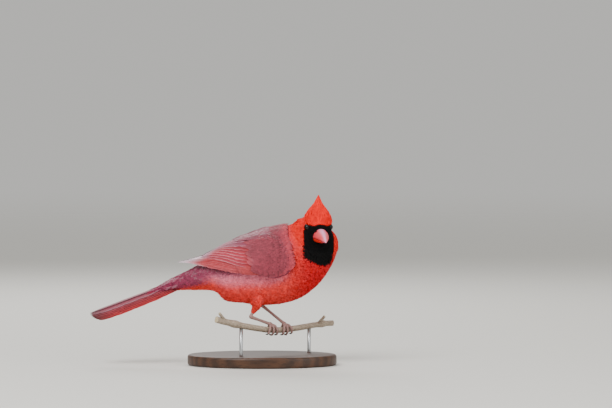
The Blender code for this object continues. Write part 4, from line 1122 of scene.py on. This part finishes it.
def atlas(count, stations, columns, low, high):
    """A cell of the bake map for each feather, its upper face beside its under face."""
    across = int(math.ceil(math.sqrt(count)))
    cell = np.arange(count)
    origin = np.stack([cell % across, cell // across], 1)[:, None, None, None]
    spots = both_faces(0.05 + 0.4 * (columns + 1) / 2, np.linspace(0.06, 0.94, stations))
    return (low + (high - low) * (origin + spots) / across).reshape(-1, 2)


def paired(name, parts, finish=web_finish, replaces=None):
    """The piece on the right side and its mirror image on the left."""
    points, faces = joined([part[:2] for part in parts])
    web, tint, bake = (np.vstack([part[k] for part in parts]) for k in (2, 3, 4))
    for side, mirror in (("_right", 1), ("_left", -1)):
        wing = mesh_piece(name + side, points * [1, mirror, 1], faces[:, ::mirror], finish,
                          "wing", tint, {"OFBake": bake, "Web": web})
        if replaces:
            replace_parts(wing, replaces + side)


def tier(root, tip, lifts, width, stations, columns, seed, colours, low, high, edge_from=0.72,
         quill=0.35, tip_from=0.78, **shape):
    """One row of vanes with its colours: middle, edge, tip and root, as hex names.

    low and high bound the row's part of the bake map.
    """
    rng = np.random.default_rng(seed)
    root, tip = (np.stack(np.broadcast_arrays(*end), 1) for end in (root, tip))
    count = len(root)
    points, faces, web = wing_vanes(root, tip, lifts, width, stations, columns, rng, **shape)
    shade = rng.normal(1, 0.09, (count, 1))
    middle, edge, end, start = (rgb(colour) * shade for colour in colours)
    tint = spread_tint(middle, edge, end, start, stations, columns, edge_from, quill, tip_from)
    return points, faces, web, tint, atlas(count, stations, columns, low, high)


# Flight feathers: nine primaries, six secondaries and three tertials show on a folded wing.
# Each tier is given by its roots and tips, as x and angle, from the lowest feather up.
k = np.linspace(0, 1, 9)
primaries = tier((-3, -2 + 8 * k),
                 (np.interp(k, np.linspace(0, 1, 7), PRIMARY_TIPS), 18 + 36 * k), 0.1 + 1.1 * k,
                 6.4, 26, FINE, 31, ("ac2630", "dc6872", "ecdae6", "c42a2a"), 0.01, 0.49,
                 blunt=1.7, quill=0.2, tip_from=0.68)
k = np.linspace(0, 1, 6)
secondaries = tier((-4 - 3 * k, 6 + 30 * k), (-51 + 6 * k, 46 + 22 * k), 1.5 + 0.9 * k, 8.2,
                   26, FINE, 32, ("a62638", "e68896", "ba8a9e", "b0262e"), 0.51, 0.99,
                   edge_from=0.66)
k = np.linspace(0, 1, 3)
tertials = tier((-7, 45 + 23 * k), (-43 + 7 * k, 72 + 8 * k), 2.5 + 0.5 * k, 9.0, 24, FINE, 33,
                ("923c52", "dca0b2", "b48498", "803246"), 0.51, 0.74, quill=0.2)
paired("flight_feathers", [primaries, secondaries, tertials], replaces="wing")

# Coverts: rows that lie over the roots of the flight feathers, smaller towards the bend.
k = np.linspace(0, 1, 10)
ragged = np.random.default_rng(30).normal(0, 1.6, 10)
greater = tier((8 - 1.0 * k, -7 + 60 * k), (-8 - 13 * k + ragged, 1 + 71 * k), 2.5 + 0.5 * k,
               8.4, 16, FINE, 34, ("8c3a4a", "b0505e", "a83e4a", "7c3040"), 0.01, 0.33,
               quill=0.12, tip_from=0.55)
k = np.linspace(0, 1, 9)
primary_coverts = tier((6 - 4 * k, -8 + 12 * k), (-19 - 4 * k, -0.5 + 15 * k), 0.9 + 0.5 * k,
                       3.6, 14, COARSE, 35, ("b03036", "c05058", "a84048", "982a30"), 0.34,
                       0.66, quill=0.12)
k = np.linspace(0, 1, 11)
median = tier((14 - 3.5 * k, -11 + 54 * k), (2.5 - 9.5 * k, -8 + 69 * k), 3.1 + 0.25 * k, 7.0,
              12, COARSE, 36, ("8e3242", "9c4658", "923e50", "7a2838"), 0.67, 0.99, quill=0.12)
paired("wing_coverts", [greater, primary_coverts, median])

# Lesser coverts: small rounded vanes in close rows behind the wing's front margin, and over
# the shoulder above the arm, where they lie lower so that they blend with the coat.
FRONT_MARGIN = np.array([(-20.0, 15.0), (-12.0, 21.0), (-5.0, 26.0), (0.0, 27.2), (10.0, 28.0),
                         (20.0, 27.6), (40.0, 24.5), (60.0, 22.5), (82.0, 22.0)])
COVERT_ROWS, COVERT_STEP, ABOVE_ARM = 15, 2.0, 3.0

rng = np.random.default_rng(37)
row, column = (part.ravel() for part in np.meshgrid(
    np.arange(COVERT_ROWS), np.arange(-15.0, 90.0, 4.4), indexing="ij"))
angle = column + 2.2 * (row % 2) + rng.normal(0, 0.5, len(row))
x = looked_up(angle, FRONT_MARGIN, 1) - COVERT_STEP * row + rng.normal(0, 0.35, len(row))
lowest = looked_up(x, WING_ARM, 1) + ABOVE_ARM
kept = (x > -3) & (angle > lowest) & (angle < 89)
x, angle, lowest = x[kept], angle[kept], lowest[kept]
reach = np.interp(x, [-2, 25], [8.0, 4.8]) * rng.uniform(0.9, 1.1, len(x))
lowest_at_tip = looked_up(x - reach, WING_ARM, 1) + ABOVE_ARM
turned = (lowest_at_tip - lowest) * np.clip(1 - (angle - lowest) / 40, 0, 1)
past_arm = np.clip((angle - looked_up(x, WING_ARM, 2)) / 14, 0, 1)
height = np.interp(x, [-2, 6, 15, 21, 28], [3.3, 3.6, 3.2, 1.9, 0.6]) * (1 - 0.6 * past_arm)
sink = np.interp(x, [14, 20, 28], [0.5, 1.4, 1.6])
points, faces, web, tint, bake = tier(
    (x, angle), (x - reach, angle + turned), height, np.interp(x, [-2, 25], [4.6, 3.2]), 8,
    COARSE, 38, ("8c2e3e", "a04656", "943c4a", "762634"), 0.01, 0.99, quill=0.1, lean=2.0,
    blunt=2.6, split=0.35, thickness=0.10, sink=sink)
reddened = np.interp(row[kept], [0, 3], [0.5, 0.0]) * rng.uniform(0.4, 1.0, len(x))
tint = laid_over(tint, NAPE, np.repeat(reddened, len(points) // len(x)))
paired("lesser_coverts", [(points, faces, web, tint, bake)])

# Scapulars: soft rounded feathers from the shoulder that hide where wing and back meet.
row, k = (part.ravel() for part in np.meshgrid(np.arange(1, 4), np.linspace(0, 1, 7),
                                               indexing="ij"))
scapulars = tier((17 - 8.0 * row - 2 * k, 52 + 33 * k + 2 * row),
                 (5.5 - 9.5 * row - 2 * k, 55 + 30 * k + 3 * row), 3.7 + 0.1 * row, 6.2, 10,
                 COARSE, 39, ("8a3a4c", "9a5a6a", "985a6c", "783244"), 0.01, 0.99, quill=0.1,
                 lean=2.0, split=0.35, thickness=0.10, sink=np.where(row > 1, 1.8, 3.5))
paired("scapulars", [scapulars])


def wing_arm():
    """The fleshed front of the wing under its coverts, as a closed pad on the chart."""
    x = np.linspace(WING_ARM[-1, 0], WING_ARM[0, 0], 30)[:, None]
    share = np.linspace(0, 1, 28)[None]
    low, high = looked_up(x, WING_ARM, 1, 2)
    degrees = low + (high - low) * share
    full = np.sin(np.pi * np.clip(share * 0.86 + 0.07, 0, 1)) ** 0.6
    along = np.linspace(0, 8, 30)[:, None]
    depth = np.interp(along, [0, 1, 2.5, 6, 8], [0.1, 1.0, 1.8, 1.6, 0.3])
    upper = on_wing(x, degrees, depth * full)
    lower = on_wing(x, degrees, -WING_LIFT - 0.4)[:, ::-1]
    return ring_solid(np.concatenate([upper, lower], 1))


points, faces = wing_arm()
tint = np.tile(rgb("7c3242"), (len(points), 1))
span = np.stack([(points[:, 0] + 80) / 120, (points[:, 2] - 50) / 80], 1)
paired("wing_arm", [(points, faces, span, tint, span)], skin_finish)

# Tail
# Twelve long feathers, folded like a closed fan with the middle pair on top, dull rose above
# and bright red on their outer edges. The feathers of rump and vent hide their roots.

TAIL_ROOT = np.array([-72.0, 0.0, 65.9])
TAIL_SLOPE, TAIL_ROLL = math.radians(20.6), math.radians(13.0)
TAIL_LENGTH, TAIL_BURIED, TAIL_WIDTH, TAIL_STATIONS = 74.5, 9.0, 5.2, 34
TAIL_DOWN = np.array([-math.cos(TAIL_SLOPE), 0.0, -math.sin(TAIL_SLOPE)])
ACROSS_FLAT = np.array([0.0, 1.0, 0.0])
OUT_FLAT = np.cross(ACROSS_FLAT, TAIL_DOWN)
OUT_FLAT = OUT_FLAT if OUT_FLAT[2] > 0 else -OUT_FLAT
TAIL_ACROSS = ACROSS_FLAT * math.cos(TAIL_ROLL) + OUT_FLAT * math.sin(TAIL_ROLL)
TAIL_OUT = OUT_FLAT * math.cos(TAIL_ROLL) - ACROSS_FLAT * math.sin(TAIL_ROLL)

rng = np.random.default_rng(41)
pair = np.repeat(np.arange(6), 2)[:, None]
side = np.tile([1.0, -1.0], 6)[:, None]
s = np.linspace(0, 1, TAIL_STATIONS)[None]
length = TAIL_LENGTH - 5.5 * (pair / 5) ** 2
spread = side * (0.9 + 0.72 * pair + s * (0.5 + 0.85 * pair))
drop = 3.6 - 0.95 * pair + np.where(side > 0, 0.42, 0.0) - 0.4 * s
centres = (TAIL_ROOT + TAIL_DOWN * ((length + TAIL_BURIED) * s - TAIL_BURIED)[..., None]
           + TAIL_ACROSS * spread[..., None] + TAIL_OUT * drop[..., None])
lean = math.radians(8) * side
normal = TAIL_OUT * np.cos(lean)[..., None] + TAIL_ACROSS * np.sin(lean)[..., None]
outline = feather_outline(TAIL_STATIONS, 4.0, 0.5)[None] * TAIL_WIDTH
outer = np.where(side > 0, 0.72, 1.28)
points, faces, web = vanes(centres, normal, outline * outer, outline * (2 - outer), 0.20, 0.05,
                           0.14, 0.16, rng, FINE)
shade = rng.normal(1, 0.05, (12, 1))
tail_middle, tail_edge = (np.repeat([rgb(c) for c in colours], 2, 0) * shade for colours in (
    ("8e3a4c", "93333f", "8a2c38", "8c2631", "96252d", "a8262b"),
    ("a8707f", "b0404c", "b83440", "c4323a", "cf3038", "e0323a")))
tint = spread_tint(tail_middle, tail_edge, tail_middle * 0.5 + 0.02, tail_middle * 0.8,
                   TAIL_STATIONS, FINE)
tail = mesh_piece("tail_feathers", points, faces, web_finish, "tail", tint,
                  {"OFBake": atlas(12, TAIL_STATIONS, FINE, 0.01, 0.99), "Web": web})
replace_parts(tail, "tail")

# Legs and feet
# Bare legs in overlapping horny plates, pinkish brown. Three toes pass over the vine and the
# hind toe grips from behind, each with ringed scales above, pads below and a curved claw.

VINE_COURSE = [(-37.0, -36.0, 40.2), (-22.0, -26.0, 35.8), (-8.0, -16.0, 32.3),
               (7.0, -5.0, 29.6), (19.0, 4.5, 29.2), (36.0, 16.5, 30.9), (50.0, 25.0, 32.6),
               (59.0, 30.0, 32.8)]
VINE_RADIUS, GAP = 2.7, 0.3
FOOT_PLACES = {"right": 7.0, "left": 19.0}
TARSUS_RADIUS, TOE_RADIUS, CLAW_CURL = 1.25, 1.2, 62.0
# Toes of the right foot: spread along the vine, and where they start and end round it in
# degrees up from its front; the last is the hind toe. The left foot is its mirror image.
TOES = ((4.6, 100, -48), (0.3, 100, -72), (-4.4, 100, -42), (0.6, 80, 205))
vine_line = smooth_rows(VINE_COURSE, 3)
vine_share = np.linspace(0, 1, len(vine_line))
vine_radii = VINE_RADIUS * (1.04 - 0.14 * vine_share)
for joint in (0.14, 0.86):                  # where side shoots leave, the vine is swollen
    vine_radii += 0.6 * np.exp(-((vine_share - joint) / 0.025) ** 2)


def vine_at(x):
    """Middle of the vine, its direction and radius at a place along X."""
    spot, ahead = (np.array([q] + looked_up(q, vine_line, 1, 2)) for q in (x, x + 2))
    return spot, unit(ahead - spot), float(np.interp(x, vine_line[:, 0], vine_radii))


def scaled(path, radii, rings, depth):
    """Path and radii finely divided, with overlapping plates of the given count and depth."""
    fine = np.linspace(0, 1, rings * 6 + 1)
    old = np.linspace(0, 1, len(path))
    line = np.stack([np.interp(fine, old, np.asarray(path)[:, k]) for k in range(3)], 1)
    line = np.vstack([line[:1], (line[:-2] + 2 * line[1:-1] + line[2:]) / 4, line[-1:]])
    plate = (fine * rings) % 1.0
    return line, np.interp(fine, old, radii) + depth * (plate - 0.5)


SKIN_PINK, CLAW_HORN = rgb("a07c76"), rgb("3a2c2a")
leg_finish, tree, shader = finish_named("horny leg scales", {"Roughness": 0.5,
                                                             "Specular IOR Level": 0.4})
scales = add(tree, "TexVoronoi", {"Vector": object_place(tree), "Scale": 1500.0},
             feature="DISTANCE_TO_EDGE")
seam = ranged(tree, scales.outputs["Distance"], 0.0, 0.12, 0.62, 1.05)
painted(tree, shader, own_tint(tree), seam)
bumped(tree, shader, seam, 0.4, 0.0001)

for side in ("right", "left"):
    middle, way, radius = vine_at(FOOT_PLACES[side])
    up = unit(np.array([0, 0, 1.0]) - way * way[2])
    fore = np.cross(way, up)
    joint = middle + up * (radius + GAP + TOE_RADIUS + 0.5)
    knee, heel = THIGHS[side]
    toward = unit(heel - joint)
    solids, tints = [], []

    def leg_part(path, radii, sides, colour):
        solid = ring_solid(tube_rings(path, radii, sides))
        solids.append(solid)
        tints.append(np.tile(colour, (len(solid[0]), 1)))

    def round_the_vine(spread, start, end, steps, reach):
        """A path at this reach from the vine's middle that slips along it by the spread."""
        angles = np.radians(np.linspace(start, end, steps))
        slip = np.sin(np.linspace(0, np.pi / 2, steps))[:, None]
        return (middle + way * spread * slip + fore * (reach * np.cos(angles))[:, None]
                + up * (reach * np.sin(angles))[:, None])

    leg_part([joint - toward * 0.8, joint + toward * 0.8, joint + toward * 2.9],
             [1.5, 1.75, 1.3], 20, SKIN_PINK)
    sign = 1 if side == "right" else -1
    for spread, start, end in TOES:
        spread = spread * sign
        reach = radius + GAP + TOE_RADIUS + 0.25
        path = round_the_vine(spread, start, end, 9, reach)
        pads = 1 + 0.10 * np.cos(np.linspace(0, 6 * np.pi, 49))
        line, radii = scaled(path, np.linspace(TOE_RADIUS, 0.82, 9), 12, 0.10)
        radii = radii * np.interp(np.linspace(0, 1, len(radii)), np.linspace(0, 1, 49), pads)
        leg_part(line, radii, 14, SKIN_PINK * 0.95)
        curl = CLAW_CURL * (1 if end > start else -1)
        claw = round_the_vine(spread, end - curl * 0.12, end + curl, 12, reach)
        claw += way * spread * (1.0 - np.sin(np.linspace(0, np.pi / 2, 12)))[:, None]
        inward = middle + way * spread - claw
        inward = unit(inward - way * (inward @ way)[:, None])
        claw += inward * np.linspace(0, 0.7, 12)[:, None]
        leg_part(claw, np.interp(np.linspace(0, 1, 12), [0, 0.25, 0.5, 0.75, 1],
                                 [0.72, 0.74, 0.58, 0.38, 0.10]), 12, CLAW_HORN)
    points, faces = joined(solids)
    foot = mesh_piece("foot_skin_" + side, points, faces, leg_finish, "leg", np.vstack(tints))
    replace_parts(foot, "foot_" + side)

    solids, tints = [], []
    start = joint + toward * (2.6 + GAP)
    share = np.linspace(0, 1, 17)[:, None]
    rise = unit(knee - heel)
    path = np.vstack([start - toward * 0.4 + (heel - start) * share,
                      heel + rise * (BARE_ABOVE_HEEL[side] * np.array([[0.45], [1.0]])
                                     + np.array([[0.6], [2.6]]))])
    shape = np.interp(np.linspace(0, 1, 19), [0, 0.1, 0.5, 0.80, 0.9, 1.0],
                      [1.1, 1.0, 0.92, 1.15, 1.3, 0.8])
    line, radii = scaled(path, TARSUS_RADIUS * shape, 14, 0.14)
    leg_part(line, radii, 24, SKIN_PINK)
    points, faces = joined(solids)
    tarsus = mesh_piece("tarsus_skin_" + side, points, faces, leg_finish, "leg",
                        np.vstack(tints))
    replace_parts(tarsus, "tarsus_" + side)

# Perch
# A cut length of dead climbing vine, thick as a pencil, with two side-shoot stubs. The bark
# has weathered to a greyish tan, ridged lengthwise and flaking; the cut ends show pale wood.

bark_finish, tree, shader = finish_named("weathered vine bark", {"Roughness": 0.88})
run_map = add(tree, "UVMap", uv_map="Run").outputs["UV"]
stretch = add(tree, "Mapping", {"Vector": run_map, "Scale": (1.0, 0.12, 1.0)})
fibres = noise(tree, stretch.outputs[0], 2.4, 6.0)
mixed = add(tree, "Math", {0: fibres, 1: noise(tree, run_map, 0.55, 4.0)},
            operation="MULTIPLY")
painted(tree, shader, own_tint(tree), ranged(tree, mixed.outputs[0], 0.12, 0.42, 0.45, 1.25))
bumped(tree, shader, fibres, 0.7, 0.0004)


def bark_tube(path, radii, sides, seed):
    """A tube whose radius is ridged lengthwise, with flat cut ends of bare wood."""
    rng = np.random.default_rng(seed)
    turn = full_turn(sides)[None]
    run = np.concatenate([[0], np.linalg.norm(np.diff(path, axis=0), axis=1).cumsum()])[:, None]
    ridges = sum(rng.uniform(0.02, 0.07) * np.sin(waves * turn + rng.uniform(0, 6)
                                                  + run * rng.uniform(-0.05, 0.05))
                 for waves in (3, 5, 7, 9, 13))
    knobbly = 0.09 * np.sin(run * 0.45 + 2 * np.sin(turn)) * np.sin(run * 0.13 + 1.0)
    radii = np.asarray(radii)[:, None] - 0.16 + ridges + knobbly
    rings = tube_rings(path, radii, sides)
    ends = [rings[0].mean(0), rings[-1].mean(0)]
    rings = np.concatenate([ends[0] + (rings[:1] - ends[0]) * 0.92, rings,
                            ends[1] + (rings[-1:] - ends[1]) * 0.92])
    points, faces = ring_solid(rings)
    bark, wood = rgb("b4a28e"), rgb("dcc8a2")
    colour = np.tile(bark, (len(points), 1))
    colour[:sides] = colour[-2 - sides:-2] = colour[-2:] = wood
    run = np.concatenate([run[:1], run, run[-1:]])
    around = np.broadcast_to(turn * 2.7, (len(run), sides)).ravel()
    web = np.stack([around, np.repeat(run[:, 0], sides)], 1)
    return points, faces, colour, np.vstack([web, [(0, 0)], [(0, run[-1, 0])]])


def finer(path, radii, steps):
    path, radii = np.asarray(path, float), np.asarray(radii, float)
    rows = smooth_rows(np.concatenate([path, radii[:, None]], 1), steps)
    return rows[:, :3], rows[:, 3]


vine_parts = [bark_tube(*finer(vine_line, vine_radii, 12), 40, 51)]
for x, steps, radii, seed in (
        (-29.5, [(0.0, 0.0, 0.0), (-2.2, -3.0, 3.6), (-5.0, -5.5, 7.5)], [1.7, 1.35, 1.2], 52),
        (46.5, [(0.0, 0.0, 0.0), (2.4, -2.8, 3.4), (5.6, -5.0, 7.2)], [1.5, 1.2, 1.0], 53)):
    path = vine_at(x)[0] + np.array(steps)
    vine_parts.append(bark_tube(*finer(path, np.array(radii) + 0.12, 10), 20, seed))
points, faces = joined([(p, f) for p, f, _, _ in vine_parts])
vine = mesh_piece("vine_bark", points, faces, bark_finish, "vine",
                  np.vstack([c for _, _, c, _ in vine_parts]),
                  {"Run": np.vstack([w for _, _, _, w in vine_parts])})
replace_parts(vine, "perch")

# Stand
# A plain oval base turned from dark hardwood and oiled, with two brushed steel rods let into
# it that carry the vine. It is an addition: the photograph's bird needs no stand.

BASE_LENGTH, BASE_WIDTH, BASE_HEIGHT = 124.0, 84.0, 9.0
ROD_RADIUS, ROD_PLACES = 1.5, {"stand_rod_rear": -17.0, "stand_rod_front": 39.0}
wood_finish, tree, shader = finish_named("oiled dark walnut", {"Roughness": 0.42,
                                                               "Specular IOR Level": 0.4})
board = add(tree, "Mapping", {"Vector": object_place(tree), "Scale": (0.10, 1.0, 1.0)})
board = board.outputs[0]
# Growth rings 4 mm apart, wandering, with pores 0.3 mm wide.
drift = add(tree, "TexNoise", {"Vector": board, "Scale": 30.0, "Detail": 3.0})
bent = add(tree, "VectorMath", {0: drift.outputs["Color"], 1: (0.0, 0.012, 0.012), 2: board},
           operation="MULTIPLY_ADD")
grain = add(tree, "TexWave", {"Vector": bent.outputs[0], "Scale": 60.0, "Distortion": 5.0,
                              "Detail": 3.0}, wave_type="BANDS", bands_direction="Y")
dark = ranged(tree, noise(tree, board, 1400.0), 0.35, 0.5, 0.6, 1.0)
painted(tree, shader, two_tone(tree, grain.outputs["Fac"], "3a261a", "523523"), dark)
bumped(tree, shader, dark, 0.2, 0.0001)

turn = full_turn(160)
corner = np.linspace(0, np.pi / 2, 8)
rim = 2.2
inset = np.concatenate([[30.0, 10.0, rim], rim * (1 - np.sin(corner)),
                        rim * (1 - np.cos(corner)), [rim + 0.01, 10.0, 30.0]])
height = np.concatenate([[0.0, 0.0, 0.0], rim * (1 - np.cos(corner)),
                         BASE_HEIGHT - rim * (1 - np.sin(corner)), [BASE_HEIGHT] * 3])
rings = np.stack([(BASE_LENGTH / 2 - inset)[:, None] * np.cos(turn),
                  (BASE_WIDTH / 2 - inset)[:, None] * np.sin(turn),
                  np.repeat(height[:, None], len(turn), 1)], -1)
base = mesh_piece("wooden_base", *ring_solid(rings), wood_finish, "wood")
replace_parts(base, "stand_base")

steel_finish, tree, shader = finish_named("brushed steel", {"Metallic": 1.0, "Roughness": 0.3})
lengthwise = add(tree, "Mapping", {"Vector": object_place(tree), "Scale": (1.0, 1.0, 0.03)})
brushed = two_tone(tree, noise(tree, lengthwise.outputs[0], 5000.0), "a9abad", "d0d2d4")
tree.links.new(brushed, shader.inputs["Base Color"])
for name, x in ROD_PLACES.items():
    top = vine_at(x)[0]
    foot = np.array([top[0], top[1], BASE_HEIGHT + 0.02])
    path = foot + (top - foot) * np.array([[0.0], [0.02], [1.0]])
    rod = mesh_piece(name.replace("stand_", "steel_"),
                     *ring_solid(tube_rings(path, [1.42, ROD_RADIUS, ROD_RADIUS], 40)),
                     steel_finish, "steel")
    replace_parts(rod, name)
